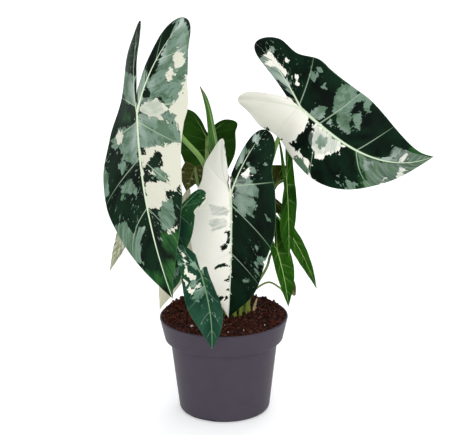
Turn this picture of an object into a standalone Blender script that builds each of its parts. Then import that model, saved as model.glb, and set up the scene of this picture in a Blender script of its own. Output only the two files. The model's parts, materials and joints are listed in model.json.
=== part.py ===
"""Potted alocasia: a nursery pot of soil, a crown, and leaf blades on their own stems.

Metres, +Z up.  The origin is the centre of the pot's underside.  -Y is the front.
Leaf figures are in millimetres and degrees, because a grower would measure them so.
"""
import math

import bmesh
import bpy
import numpy as np

# ---------------------------------------------------------------- driving dimensions
MM = 0.001
GAP = 0.0003                 # clearance between neighbouring pieces

RIM_RADIUS = 0.0600          # a 12 cm nursery pot
POT_HEIGHT = 0.0922
COLLAR_HEIGHT = 0.0210       # the wider band below the rim
COLLAR_FOOT_RADIUS = 0.0555
BODY_TOP_RADIUS = 0.0502
BODY_FOOT_RADIUS = 0.0428
FOOT_ROUNDING = 0.0050
WALL = 0.0012
TURN_STEPS = 48

NOTCH_WIDTH = 0.024          # gap in the foot that lets water run out
NOTCH_HEIGHT = 0.0032
NOTCH_HEADINGS = (-117, 63)  # degrees from +X
DRAIN_RADIUS = 0.0036
DRAIN_RING = 0.0270
DRAIN_COUNT = 8

SOIL_TOP = 0.0892
SOIL_RISE = 0.0008           # the soil stands a little higher in the middle
SOIL_HEAP = 0.0022           # and is heaped against the wall
CROWN_CENTRE = (0.011, 0.010)
CROWN_RADIUS = 0.0155
CROWN_TOP = 0.0890
CROWN_FOOT = 0.0740

BLADE_THICKNESS = 0.0008
RIB_THICKNESS = 0.0020       # the blade is thicker along its ribs
STEM_POINTS = 16
NECK_SHARE = 0.06            # how far under the blade the stem starts to turn to it

# One half of an alocasia blade, laid flat: how far the margin stands from the axis,
# as a share of the blade's half width.  -1 is the tip of the basal lobe, 0 is where
# the stem joins and 1 is the leaf tip.
OUTLINE = ((-1, .92), (-.8, .93), (-.5, .94), (-.2, .93), (0, .95), (.2, 1), (.35, .99),
           (.5, .88), (.65, .68), (.8, .42), (.92, .16), (1, 0))
# Where each leaf's own margin factors apply, on the same scale.
MARGIN_STATIONS = (-1, -.75, -.45, -.15, .2, .5, .8, 1)
EVEN_MARGIN = (1, 1, 1, 1, 1, 1)
ROOF = 0.22                  # how far the lobe's axis stays from its sinus margin


def leaf(at, length, width, heading, dip, tilt, base, stem, lobes=(.5, .5), spread=.64, web=.2,
         droop=(0, 0, 10), sway=(0, 0, 0), twist=(0, 0), right_fold=(10, 0, 0), left_fold=(10, 0, 0),
         curl=(2, 2), right_margin=EVEN_MARGIN, left_margin=EVEN_MARGIN, stem_radius=(2.0, 1.2)):
    """A leaf's measures, by name.

    at: where the stem joins the blade.  length: from there to the leaf tip.
    width: half the blade's width, as a share of its length.
    heading, dip, tilt: where the tip points, how far below level, and the roll about that line.
    lobes: length of the right and left basal lobe, as shares of length.
    spread: how far out a lobe's tip stands.  web: share of the lobes that is joined.
    droop, sway: bend of the midrib down and sideways (even, towards the tip, in the lobes).
    twist: turn about the midrib (to the tip, in the lobes).
    folds: how far each half rises from level (at the stem, gained to the tip, gained in the lobe).
    curl: how far each half bends across its width (right, left).
    base: the stem's foot on the crown.  stem: places it passes.  stem_radius: foot and top.
    """
    return dict(locals())


LEAVES = {
    "front_left": leaf(
        (-74.2, -50, 298.2), 173, .29, -20, 91, -21, base=(4, 9), stem_radius=(3.0, 1.8),
        stem=((-6, 6, 160), (-17.6, 3, 239.5), (-31.5, -16, 262.5), (-55, -32, 289)),
        lobes=(.577, .432), spread=.63, web=.21, droop=(10, -5, 26), sway=(14, 7, 30), twist=(-12, 5),
        right_fold=(2, 20, -4), left_fold=(-23, 53, -14), curl=(-11, -7),
        right_margin=(.97, 1.08, 1.19, .96, .97, .99), left_margin=(.94, .93, .79, 1.02, 1.06, .93)),
    "upper_right": leaf(
        (71.1, -10, 291.9), 141, .32, 52, 31, -74, base=(22, 11), stem_radius=(3.0, 1.8),
        stem=((26, 10, 118), (34, 8, 190), (44, 7, 236), (56, 7, 267)),
        lobes=(.52, .485), spread=.66, web=.24, droop=(2, 2, -3), sway=(-5, 68, -32), twist=(-28, 6),
        right_fold=(-3, -4, -27), left_fold=(-7, 37, -12), curl=(13, -14),
        right_margin=(1.01, .89, 1.08, 1.01, 1.03, 1.12), left_margin=(.89, .99, .91, .93, .95, .88)),
    "centre": leaf(
        (7.4, -27, 217.6), 126, .32, -15, 93, -8, base=(9, 2), stem_radius=(2.8, 1.6),
        stem=((9, 4, 150), (8, -2, 195)),
        lobes=(.545, .35), spread=.6, web=.27, droop=(4, 4, 18), sway=(-7, -1, 27), twist=(-3, -5),
        right_fold=(4, 5, -6), left_fold=(-4, 9, -35), curl=(-10, -2),
        right_margin=(1.02, 1, 1.12, 1.07, .94, 1.18), left_margin=(.82, .89, .85, .99, 1.07, 1.02)),
    "front_low": leaf(
        (-19.6, -64, 154.7), 70, .29, 39, 64, -35, base=(2.5, 2.5), stem_radius=(2.2, 1.2),
        stem=((-8, -12, 104), (-16, -34, 130)),
        lobes=(.06, .42), spread=.58, web=.6, droop=(20, 4, 10), sway=(-12, -8, 0), twist=(-10, 0),
        right_fold=(69, -21, 0), left_fold=(18, -4, 0), curl=(8, 7),
        right_margin=(1, 1, 1, .9, 1.11, 1.02), left_margin=(1, 1, 1, 1.07, 1.07, .98)),
    "left_inner": leaf(
        (-38.1, -42, 207), 83, .25, -47, 76, 13, base=(-1.5, 7), stem_radius=(1.9, 1.1),
        stem=((-16, 0, 108), (-28, -14, 132), (-34, -24, 168)),
        lobes=(.27, .27), spread=.78, droop=(30, 0, 10), sway=(-13, 0, 0),
        right_fold=(5, 0, -18), left_fold=(13, 0, 0),
        right_margin=(1.25, 1.18, .92, .87, .59, 1.05)),
    "back_high": leaf(
        (-14.3, 50, 251.2), 79, .37, 187, 51, -5, base=(9, 18), stem_radius=(2.2, 1.3),
        stem=((0, 18, 150), (-11, 14, 215), (-14, 26, 243)),
        lobes=(.45, .45), spread=.66, droop=(28, 0, 20), sway=(-7, 0, 0),
        right_fold=(30, 0, -12), left_fold=(12, 0, -21)),
    "right_narrow": leaf(
        (58.8, 0, 221.7), 73, .34, 83, 86, -17, base=(17, 8), stem_radius=(2.0, 1.2),
        stem=((25, 6, 140), (42, 2, 198)),
        lobes=(.56, .56), droop=(5, 0, 10), twist=(10, 0),
        right_fold=(-6, -4, 0), left_fold=(15, -19, 0)),
    "right_low": leaf(
        (49.9, 0, 155), 54.5, .28, 59, 71, -6, base=(16, 1.5), stem_radius=(1.7, 1.0),
        stem=((28, 1, 118), (41, 0, 140)),
        lobes=(.54, .54), spread=.74, droop=(10, 0, 10), sway=(-4, 0, 0),
        right_fold=(10, 0, 0), left_fold=(15, 0, 0)),
    "right_outer": leaf(
        (59.9, 48, 163.1), 66, .33, 73, 55, -4, base=(21, 18), stem_radius=(1.7, 1.0),
        stem=((32, 24, 130), (48, 42, 158)),
        droop=(9, 0, 10), sway=(-15, 0, 0), right_fold=(-9, 0, 0), left_fold=(6, 0, 0)),
    "right_back": leaf(
        (39.7, 28, 204), 47, .46, -100, 0, 75, base=(15, 14), stem_radius=(1.8, 1.1),
        stem=((21, 17, 130), (27, 30, 176)),
        lobes=(.55, .55), spread=1.12, web=.1, droop=(-8, 0, -10),
        right_fold=(-10, 0, 0), left_fold=(5, 0, 0),
        left_margin=(1.24, 1.24, 1.24, 1.24, 1, 1)),
    "right_small": leaf(
        (63.3, 20, 107), 20, .3, -60, -88, -6, base=(21.5, 3.5), stem_radius=(1.2, .8),
        stem=((32, 5, 117), (42, 8, 121), (53, 12, 114)),
        lobes=(.15, .15), droop=(6, 0, 10), right_fold=(24, 0, 0), left_fold=(20, 0, 0)),
    "left_back": leaf(
        (-75.9, 30, 196.3), 78, .26, -85, 61, 17, base=(-1.5, 12.5), stem_radius=(1.8, 1.1),
        stem=((-16, 16, 140), (-45, 24, 190)),
        droop=(11, 0, 10), sway=(-4, 0, 0), right_fold=(5, 0, 0), left_fold=(1, 0, 0)),
    "back_low": leaf(
        (-39.4, 55, 156.5), 81, .24, -91, 71, 32, base=(5, 21), stem_radius=(1.7, 1.0),
        stem=((2, 36, 130), (-20, 60, 152)),
        droop=(3, 0, 10), sway=(5, 0, 0), right_fold=(-39, 0, 0), left_fold=(4, 0, 0)),
    "inner_small": leaf(
        (-25.5, 30, 228), 34, .33, -155, 54, -13, base=(3, 15.5), stem_radius=(1.6, 1.0),
        stem=((-8, 14, 150), (-20, 12, 205)),
        lobes=(.12, .12), spread=.8, droop=(4, 0, 10), sway=(3, 0, 0),
        right_fold=(13, 0, 0), left_fold=(4, 0, 0)),
}

# The newest leaf is still rolled up on its stem: place (mm) and radius (mm) along it.
SPEAR = (((10, 11, 89.6), 2.3), ((6, 10, 150), 2.0), ((-1, 9, 205), 2.0), ((-6, 8, 238), 4.2),
         ((-8, 7, 254), 4.4), ((-10, 6, 272), 3.6), ((-12.2, 5.5, 288), 2.8),
         ((-15.3, 4.8, 300), 2.1), ((-19.5, 4, 310), .5))
# What is left of an old leaf's sheath, dried to a strap.
DRY_SHEATH = (((28, 12, 91.2), 1.3), ((28.8, 12.2, 95), 1.2), ((30.3, 12.3, 100), .9),
              ((31.6, 12.4, 103.5), .4))

COLOURS = {"pot": ("554E57", .45), "soil": ("3A1C12", .95), "crown": ("8A7A3C", .7),
           "stem": ("6F8A3C", .5), "dark": ("16332A", .4), "pale": ("9FB09A", .4),
           "green": ("2F5A22", .45), "cream": ("DDD6C0", .5), "straw": ("B9A57C", .8)}
BLADE_COLOUR = {"front_left": "pale", "upper_right": "dark", "centre": "dark", "front_low": "dark",
                "left_back": "cream", "back_low": "cream"}


# ---------------------------------------------------------------- scene and materials
for old in list(bpy.data.objects):
    bpy.data.objects.remove(old, do_unlink=True)

plant = bpy.data.collections.new("potted_alocasia")
cutters = bpy.data.collections.new("cutters")
for collection in (plant, cutters):
    bpy.context.scene.collection.children.link(collection)


def material(name):
    """Principled material from the colour table, made once."""
    if name in bpy.data.materials:
        return bpy.data.materials[name]
    colour, roughness = COLOURS[name]
    made = bpy.data.materials.new(name)
    made.use_nodes = True
    shader = made.node_tree.nodes["Principled BSDF"]
    channels = [int(colour[i:i + 2], 16) / 255 for i in (0, 2, 4)]
    linear = [c / 12.92 if c <= .04045 else ((c + .055) / 1.055) ** 2.4 for c in channels]
    shader.inputs["Base Color"].default_value = (*linear, 1)
    shader.inputs["Roughness"].default_value = roughness
    shader.inputs["Metallic"].default_value = 0
    return made


def place(name, data, colour, collection=plant):
    """Put mesh or curve data in the scene as a named piece."""
    piece = bpy.data.objects.new(name, data)
    data.materials.append(material(colour))
    collection.objects.link(piece)
    return piece


# ---------------------------------------------------------------- turned pieces
def arc(centre, radius, start, end, points):
    """Points on an arc in the radius-height plane, degrees from outward level."""
    angles = np.radians(np.linspace(start, end, points))
    return [(centre[0] + radius * math.cos(a), centre[1] + radius * math.sin(a)) for a in angles]


def turned(name, profile, colour):
    """A profile of (radius, height) points carried round the Z axis."""
    mesh = bpy.data.meshes.new(name)
    points = [(radius, 0, height) for radius, height in profile]
    mesh.from_pydata(points, [(i, i + 1) for i in range(len(points) - 1)], [])
    piece = place(name, mesh, colour)
    screw = piece.modifiers.new("turn", "SCREW")
    screw.steps = screw.render_steps = TURN_STEPS
    screw.use_merge_vertices = True
    screw.merge_threshold = 1e-5
    screw.use_smooth_shade = True
    return piece


def cut(piece, *tools):
    """Take the tools' shapes out of a piece."""
    for tool in tools:
        tool.hide_render = True
        tool.display_type = "WIRE"
        boolean = piece.modifiers.new(tool.name, "BOOLEAN")
        boolean.operation = "DIFFERENCE"
        boolean.solver = "EXACT"
        boolean.object = tool


def drum(name, radius, low, high, at=(0, 0), sides=32):
    """A round cutter between two heights."""
    mesh = bpy.data.meshes.new(name)
    shape = bmesh.new()
    bmesh.ops.create_cone(shape, cap_ends=True, segments=sides, radius1=radius, radius2=radius,
                          depth=high - low)
    shape.to_mesh(mesh)
    shape.free()
    piece = place(name, mesh, "pot", cutters)
    piece.location = (at[0], at[1], (low + high) / 2)
    return piece


def pot_wall(inset):
    """(radius, height) points up the wall, each `inset` inside the outer face."""
    collar_foot = POT_HEIGHT - COLLAR_HEIGHT
    step = COLLAR_FOOT_RADIUS - BODY_TOP_RADIUS
    rounding = FOOT_ROUNDING - inset
    foot = arc((BODY_FOOT_RADIUS - FOOT_ROUNDING, FOOT_ROUNDING), rounding, -90, -8, 6)
    body = [(BODY_TOP_RADIUS - inset, collar_foot - .0022 + inset)]
    ledge = [(BODY_TOP_RADIUS + .20 * step - inset, collar_foot - .0006 + inset),
             (COLLAR_FOOT_RADIUS - .0012 - inset, collar_foot + inset),
             (COLLAR_FOOT_RADIUS - inset, collar_foot + .0012 + inset)]
    return foot + body + ledge


def make_pot():
    """A thin thermoformed shell: rounded foot, sloping body, ledge, sloping collar, rolled rim."""
    rim = (RIM_RADIUS - WALL / 2, POT_HEIGHT - WALL / 2)
    inner = [(0, WALL)] + pot_wall(WALL)
    outer = pot_wall(0)[::-1] + [(0, 0)]
    pot = turned("pot", inner + arc(rim, WALL / 2, 180, 0, 5) + outer, "pot")
    holes = []
    for i in range(DRAIN_COUNT):
        turn = 2 * math.pi * i / DRAIN_COUNT
        spot = (DRAIN_RING * math.cos(turn), DRAIN_RING * math.sin(turn))
        holes.append(drum(f"drain_{i}", DRAIN_RADIUS, -.002, .004, spot, 12))
    for i, heading in enumerate(NOTCH_HEADINGS):
        bpy.ops.mesh.primitive_cube_add(size=1)
        notch = bpy.context.active_object
        notch.name = f"notch_{i}"
        notch.scale = (.012, NOTCH_WIDTH, 2 * NOTCH_HEIGHT)
        turn = math.radians(heading)
        notch.location = (.0445 * math.cos(turn), .0445 * math.sin(turn), 0)
        notch.rotation_euler = (0, 0, turn)
        for home in list(notch.users_collection):
            home.objects.unlink(notch)
        cutters.objects.link(notch)
        holes.append(notch)
    cut(pot, *holes)
    return pot


def make_soil():
    """The potting mix: fills the pot, heaped a little at the rim, with a pit for the crown."""
    inset = WALL + 2 * GAP
    collar_foot = POT_HEIGHT - COLLAR_HEIGHT
    share = (SOIL_TOP - collar_foot) / COLLAR_HEIGHT
    edge = COLLAR_FOOT_RADIUS + share * (RIM_RADIUS - COLLAR_FOOT_RADIUS) - inset - GAP
    top = [(0, SOIL_TOP + SOIL_RISE), (.02, SOIL_TOP + SOIL_RISE), (.04, SOIL_TOP + .0004),
           (edge - .010, SOIL_TOP), (edge - .004, SOIL_TOP + SOIL_HEAP), (edge, SOIL_TOP + SOIL_HEAP)]
    # Above the ponds that the foot notches leave, the soil follows the wall.
    foot = NOTCH_HEIGHT + WALL + GAP
    side = [p for p in pot_wall(inset)[::-1] if p[1] > foot + .001]
    radius = BODY_FOOT_RADIUS - inset - .007
    soil = turned("soil", top + side + [(radius, foot), (0, foot)], "soil")
    pit = drum("crown_pit", CROWN_RADIUS + GAP, CROWN_FOOT - GAP, .1, CROWN_CENTRE, 40)
    cut(soil, pit)
    return soil


def make_crown():
    """The short thick stock that every leaf grows from, mostly sunk in the soil."""
    mesh = bpy.data.meshes.new("crown")
    shape = bmesh.new()
    depth = CROWN_TOP - CROWN_FOOT
    bmesh.ops.create_cone(shape, cap_ends=True, segments=40, radius1=CROWN_RADIUS * .8,
                          radius2=CROWN_RADIUS, depth=depth)
    shape.to_mesh(mesh)
    shape.free()
    crown = place("crown", mesh, "crown")
    crown.location = (*CROWN_CENTRE, CROWN_FOOT + depth / 2)
    bevel = crown.modifiers.new("round", "BEVEL")
    bevel.width = .0012
    bevel.segments = 2
    return crown


# ---------------------------------------------------------------- leaf blades
def through(stations, values, at):
    """Smooth curve through (station, value) pairs, read at the places `at`.

    Cubic Hermite pieces, with each slope taken from the neighbouring points."""
    stations = np.asarray(stations, float)
    values = np.asarray(values, float)
    slopes = np.gradient(values, stations, axis=0)
    i = np.clip(np.searchsorted(stations, at) - 1, 0, len(stations) - 2)
    step = stations[i + 1] - stations[i]
    s = np.clip((at - stations[i]) / step, 0, 1)
    if values.ndim > 1:
        s = s[..., None]
        step = step[..., None]
    start = (2 * s ** 3 - 3 * s ** 2 + 1) * values[i] + (s ** 3 - 2 * s ** 2 + s) * step * slopes[i]
    end = (3 * s ** 2 - 2 * s ** 3) * values[i + 1] + (s ** 3 - s ** 2) * step * slopes[i + 1]
    return start + end


def turn_about(axis, degrees):
    """Rotation matrices about X, Y or Z, one for each angle."""
    a = np.radians(degrees)
    c, s, one, zero = np.cos(a), np.sin(a), np.ones_like(a), np.zeros_like(a)
    rows = {"X": (one, zero, zero, zero, c, -s, zero, s, c),
            "Y": (c, zero, s, zero, one, zero, -s, zero, c),
            "Z": (c, -s, zero, s, c, zero, zero, zero, one)}[axis]
    return np.stack(rows, -1).reshape(*np.shape(a), 3, 3)


def rib_frame(form):
    """Columns: along the leaf, to its right, and up from its face, where the stem joins."""
    heading, dip, tilt = (math.radians(form[k]) for k in ("heading", "dip", "tilt"))
    along = np.array((math.sin(heading) * math.cos(dip), -math.cos(heading) * math.cos(dip), -math.sin(dip)))
    face = np.array((math.sin(heading) * math.sin(dip), -math.cos(heading) * math.sin(dip), math.cos(dip)))
    right = np.cross(face, along)
    face, right = (face * math.cos(tilt) + right * math.sin(tilt),
                   right * math.cos(tilt) - face * math.sin(tilt))
    return np.stack((along, right, face), 1)


def midrib(form, y):
    """Frame and place of the midrib at stations y (0 at the stem, 1 at the tip, negative in the lobes)."""
    def frames(t):
        ahead, back = np.maximum(t, 0), np.minimum(t, 0)
        droop = form["droop"][0] * ahead + form["droop"][1] * ahead ** 2 + form["droop"][2] * back
        sway = form["sway"][0] * ahead + form["sway"][1] * ahead ** 2 + form["sway"][2] * back
        twist = form["twist"][0] * ahead + form["twist"][1] * back
        return rib_frame(form) @ turn_about("Z", sway) @ turn_about("Y", droop) @ turn_about("X", twist)
    fine = np.linspace(-max(form["lobes"]), 1, 240)
    along = frames(fine)[..., 0] * form["length"] * MM
    steps = (along[1:] + along[:-1]) / 2 * np.diff(fine)[:, None]
    path = np.concatenate((np.zeros((1, 3)), np.cumsum(steps, 0)))
    path -= [np.interp(0, fine, path[:, k]) for k in range(3)]
    place_at = np.stack([np.interp(y, fine, path[:, k]) for k in range(3)], -1)
    return frames(y), place_at + np.array(form["at"]) * MM


def half_blade(form, side, y, across):
    """Points of one half (side 1 right, -1 left) at stations y and shares `across` of its width.

    Flat, the half runs from its inner edge (the midrib, or the sinus margin in the lobe) to
    its outer margin.  It is then folded up from the midrib and curled on a circular arc."""
    hand = "right" if side > 0 else "left"
    lobe = form["lobes"][0 if side > 0 else 1]
    back = np.clip(-y / lobe, 0, 1)
    station = np.where(y < 0, -back, y)
    margin = form[hand + "_margin"]
    factors = (margin[0], *margin, margin[-1])
    edge = through(*zip(*OUTLINE), station) * through(MARGIN_STATIONS, factors, station)
    axis = form["spread"] * back
    end = np.sqrt(1 - back ** 8)
    web = form["web"]
    sinus = np.clip((back - web) / (1 - web), 0, 1) * (form["spread"] - ROOF)
    outer = axis + end * (edge - axis)
    inner = axis - end * (axis - sinus)
    half_width = form["width"] * form["length"] * MM
    x = (inner + across * (outer - inner)) * half_width
    fold = form[hand + "_fold"]
    angle = np.radians(fold[0] + fold[1] * np.maximum(y, 0) + fold[2] * back)
    bend = (math.radians(form["curl"][0 if side > 0 else 1]) + .001) / half_width
    out = (np.sin(angle + bend * x) - np.sin(angle)) / bend
    rise = (np.cos(angle) - np.cos(angle + bend * x)) / bend
    frame, centre = midrib(form, y)
    return centre + side * frame[..., 1] * out[..., None] + frame[..., 2] * rise[..., None]


def make_blade(name, form):
    """The blade: both halves as grids, welded along the midrib, then given a thickness."""
    big = form["length"] > 95
    ahead = np.array((.08, .2, .33, .46, .58, .69, .79, .88, .95, 1)) if big else \
        np.array((.12, .3, .48, .65, .8, .92, 1))
    joined = form["web"] * min(form["lobes"])
    lobe_shares = np.array((.2, .4, .58, .74, .88, .96, 1)) if big else np.array((.3, .6, .85, 1))
    across = np.linspace(0, 1, 5 if big else 4)
    shape = bmesh.new()
    thick = shape.verts.layers.deform.verify()
    for side in (1, -1):
        lobe = form["lobes"][0 if side > 0 else 1]
        behind = -(joined + (lobe - joined) * lobe_shares)
        rows = np.concatenate((behind[::-1], (-joined, -joined / 2, 0), ahead))
        y, v = np.meshgrid(rows, across, indexing="ij")
        points = half_blade(form, side, y, v)
        grid = [[shape.verts.new(p) for p in row] for row in points]
        for row in grid:
            for j, vert in enumerate(row):
                vert[thick][0] = 1 if j == 0 else BLADE_THICKNESS / RIB_THICKNESS
        for i in range(len(rows) - 1):
            for j in range(len(across) - 1):
                corners = (grid[i][j], grid[i + 1][j], grid[i + 1][j + 1], grid[i][j + 1])
                shape.faces.new(corners[::side])
    bmesh.ops.remove_doubles(shape, verts=shape.verts, dist=2e-5)
    mesh = bpy.data.meshes.new(name)
    shape.to_mesh(mesh)
    shape.free()
    mesh.shade_smooth()
    piece = place(name, mesh, BLADE_COLOUR.get(name.removeprefix("blade_"), "green"))
    piece.vertex_groups.new(name="thickness")
    solid = piece.modifiers.new("lamina", "SOLIDIFY")
    solid.thickness = RIB_THICKNESS
    solid.offset = -1
    solid.vertex_group = "thickness"
    return piece


# ---------------------------------------------------------------- stems
def tube(name, places, radii, colour, points=STEM_POINTS):
    """A round tapering tube through places (metres), its radius following the same smooth rule."""
    places = np.asarray(places, float)
    chord = np.concatenate(((0,), np.cumsum(np.linalg.norm(np.diff(places, axis=0), axis=1))))
    at = np.linspace(0, chord[-1], points)
    line = through(chord, places, at)
    width = np.interp(at, chord, radii)
    curve = bpy.data.curves.new(name, "CURVE")
    curve.dimensions = "3D"
    curve.bevel_depth = 1.0
    curve.bevel_resolution = 2
    curve.use_fill_caps = True
    spline = curve.splines.new("POLY")
    spline.points.add(points - 1)
    for point, spot, radius in zip(spline.points, line, width):
        point.co = (*spot, 1)
        point.radius = radius
    return place(name, curve, colour)


def make_stem(name, form):
    """From the crown, through its places, to just under the blade, square to the blade there."""
    foot, top = (r * MM for r in form["stem_radius"])
    frame = rib_frame(form)
    face = frame[:, 2]
    falling = -min(0, form["right_fold"][0], form["left_fold"][0])
    clear = RIB_THICKNESS + 4 * GAP + top * math.tan(math.radians(falling))
    end = np.array(form["at"]) * MM - face * clear
    start = np.array((*form["base"], CROWN_TOP / MM + .5)) * MM
    reach = NECK_SHARE * form["length"] * MM
    neck = end - face * reach - np.array((0, 0, reach * .5))
    places = [start, start + (0, 0, .012), *(np.array(p) * MM for p in form["stem"]), neck, end]
    radii = np.interp(np.linspace(0, 1, len(places)), (0, .2, 1), (foot, foot * .85, top))
    return tube(name, places, radii, "stem")


make_pot()
make_soil()
make_crown()
for leaf_name, leaf_form in LEAVES.items():
    make_blade("blade_" + leaf_name, leaf_form)
    make_stem("stem_" + leaf_name, leaf_form)
tube("new_leaf", [np.array(p) * MM for p, _ in SPEAR], [r * MM for _, r in SPEAR], "green", 20)
tube("dry_sheath", [np.array(p) * MM for p, _ in DRY_SHEATH], [r * MM for _, r in DRY_SHEATH], "straw", 6)
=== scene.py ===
# %% [markdown]
# # A potted alocasia
#
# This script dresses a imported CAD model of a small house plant: a 12 cm nursery pot, its soil, the
# crown that every leaf grows from, fourteen leaves and a new leaf that is still rolled up.  The CAD
# gives each piece its place and size.  Here each one gets its fine shape and its finish.  A leaf is
# soft and thin, so most of the work is numpy: a flat blank of each leaf is bent into place, and the
# same flat coordinates then carry its veins and its markings.

import json
import math
from functools import partial

import bpy
import numpy as np
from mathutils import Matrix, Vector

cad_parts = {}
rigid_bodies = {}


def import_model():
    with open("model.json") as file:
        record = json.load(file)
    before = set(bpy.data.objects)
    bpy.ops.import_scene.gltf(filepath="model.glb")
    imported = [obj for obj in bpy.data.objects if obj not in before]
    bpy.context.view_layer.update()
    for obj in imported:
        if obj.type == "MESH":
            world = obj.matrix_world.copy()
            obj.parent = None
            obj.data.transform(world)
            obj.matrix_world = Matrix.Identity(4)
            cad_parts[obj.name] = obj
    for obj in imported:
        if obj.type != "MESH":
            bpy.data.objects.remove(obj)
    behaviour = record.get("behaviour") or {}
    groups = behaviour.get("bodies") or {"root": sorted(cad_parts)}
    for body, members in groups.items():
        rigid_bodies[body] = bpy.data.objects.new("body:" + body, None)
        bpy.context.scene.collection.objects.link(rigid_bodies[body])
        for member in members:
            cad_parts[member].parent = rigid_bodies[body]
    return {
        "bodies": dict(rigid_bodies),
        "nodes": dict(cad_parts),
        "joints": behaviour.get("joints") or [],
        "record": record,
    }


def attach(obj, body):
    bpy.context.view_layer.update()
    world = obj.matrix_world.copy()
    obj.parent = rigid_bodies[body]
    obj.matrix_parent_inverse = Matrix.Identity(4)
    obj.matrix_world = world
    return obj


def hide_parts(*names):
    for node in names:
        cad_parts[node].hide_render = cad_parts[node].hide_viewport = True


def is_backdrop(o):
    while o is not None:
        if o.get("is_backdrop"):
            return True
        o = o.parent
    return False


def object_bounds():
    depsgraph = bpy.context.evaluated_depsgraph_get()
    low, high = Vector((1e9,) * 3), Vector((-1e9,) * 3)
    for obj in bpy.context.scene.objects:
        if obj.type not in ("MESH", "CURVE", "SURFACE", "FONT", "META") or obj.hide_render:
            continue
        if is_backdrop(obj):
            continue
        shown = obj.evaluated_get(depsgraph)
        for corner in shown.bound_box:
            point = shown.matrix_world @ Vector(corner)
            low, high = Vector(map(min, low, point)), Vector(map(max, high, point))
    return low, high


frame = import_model()
cad_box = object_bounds()
MM = 0.001
print("CAD nodes:", len(frame["nodes"]), " height (mm):", round(cad_box[1].z / MM, 1))

# %% [markdown]
# ## Camera, floor and light
#
# The plant is seen from a little above, from about a metre and a half away.  A long lens keeps the
# leaves in front from looking too big.  The floor is a plain pale sheet that runs far back, so it
# is also the backdrop.  Pale leaves must stay just under white while the darkest stay readable, so
# the light is very even: a wide sun from the front, a soft lamp on the right, a low one at the left
# for leaf faces that look down, one behind for an edge, and a pale sky that fills the shadows.

# %% Camera
SENSOR = 36
LENS = 136.32
CAMERA_PLACE = (.002, -1.5038, .6385)
CAMERA_DIP = math.radians(16.704)
CAMERA_ROLL = math.radians(.5615)


def into_scene(name, data):
    """A new object with this data, linked into the scene."""
    made = bpy.data.objects.new(name, data)
    bpy.context.scene.collection.objects.link(made)
    return made


camera_data = bpy.data.cameras.new("camera")
camera_data.sensor_width = SENSOR
camera_data.lens = LENS
camera_data.clip_start = .05
camera_data.clip_end = 60
camera = into_scene("camera", camera_data)
camera.location = CAMERA_PLACE
camera.rotation_mode = "ZXY"   # roll about the lens first, then dip
camera.rotation_euler = (math.pi / 2 - CAMERA_DIP, 0, -CAMERA_ROLL)
bpy.context.scene.camera = camera
bpy.context.scene.view_settings.view_transform = "Standard"
print("camera", tuple(round(c, 3) for c in camera.location))

# %% Colours and nodes
def colour(code):
    """An sRGB hex colour as the linear values that a shader takes."""
    channels = np.array([int(code[i:i + 2], 16) for i in (0, 2, 4)]) / 255
    linear = np.where(channels <= .04045, channels / 12.92, ((channels + .055) / 1.055) ** 2.4)
    return (*linear.tolist(), 1)


def feed(node, *values, **named):
    """Give a node's inputs plain values or links, in the order of those in use, or by name.

    A string is a colour, and a node stands for its first output in use."""
    in_use = [socket for socket in node.inputs if socket.enabled]
    pairs = list(zip(in_use, values))
    for key, value in named.items():
        pairs.append((next(s for s in in_use if s.name == key.replace("_", " ")), value))
    for socket, value in pairs:
        if isinstance(value, bpy.types.Node):
            value = next(s for s in value.outputs if s.enabled)
        if isinstance(value, bpy.types.NodeSocket):
            node.id_data.links.new(value, socket)
        else:
            socket.default_value = colour(value) if isinstance(value, str) else value


def add(tree, kind, *values, **settings):
    """Add a node, set its properties (small letters), then feed its inputs (capitals)."""
    made = tree.nodes.new("ShaderNode" + kind)
    if kind == "Mix":
        made.data_type = "RGBA"   # every mix here is one of colours
    for key in [key for key in settings if key.islower()]:
        setattr(made, key, settings.pop(key))
    feed(made, *values, **settings)
    return made


def finish_of(name, **constants):
    """A new material, the function that adds nodes to it, and its shader with constants set."""
    material = bpy.data.materials.new(name)
    material.use_nodes = True
    shader = material.node_tree.nodes["Principled BSDF"]
    feed(shader, **constants)
    return material, partial(add, material.node_tree), shader


print("cream in linear light:", [round(c, 3) for c in colour("ECE9DA")[:3]])

# %% Floor, sky and lights
# The floor is translucent board on a light table: matt, so it has no reflection of the pot, and lit
# a little from below, so that it stays white far back.
board, node, shader = finish_of("matt board on a light table", Roughness=.95, Specular_IOR_Level=.1,
                                Emission_Strength=.25, Emission_Color="FFFFFF")
grain = node("TexNoise", Scale=40, Detail=3)
feed(shader, Base_Color=node("Mix", grain, "F6F6F6", "FAFAFA"))
FLOOR_SIZE = 16
corners = np.array(((-1, -1, 0), (1, -1, 0), (1, 1, 0), (-1, 1, 0))) * FLOOR_SIZE / 2
floor_mesh = bpy.data.meshes.new("floor")
floor_mesh.from_pydata(corners, [], [(0, 1, 2, 3)])
floor_mesh.materials.append(board)
floor = into_scene("floor", floor_mesh)
floor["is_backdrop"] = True

sky = bpy.data.worlds.new("pale sky")
sky.use_nodes = True
feed(sky.node_tree.nodes["Background"], Color="F4F6F8", Strength=.8)
bpy.context.scene.world = sky


MIDDLE = np.array((0, 0, .2))


def lamp(name, kind, place, watts, spread):
    """A lamp that faces the plant's middle: a sun `spread` degrees wide, or a square of that size."""
    data = bpy.data.lights.new(name, kind)
    data.energy = watts
    if kind == "SUN":
        data.angle = math.radians(spread)
    else:
        data.shape = "SQUARE"
        data.size = spread
    light = into_scene(name, data)
    light.location = place
    ahead = MIDDLE - place
    level = math.hypot(ahead[0], ahead[1])
    light.rotation_euler = (math.atan2(level, -ahead[2]), 0, math.atan2(-ahead[0], ahead[1]))


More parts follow.
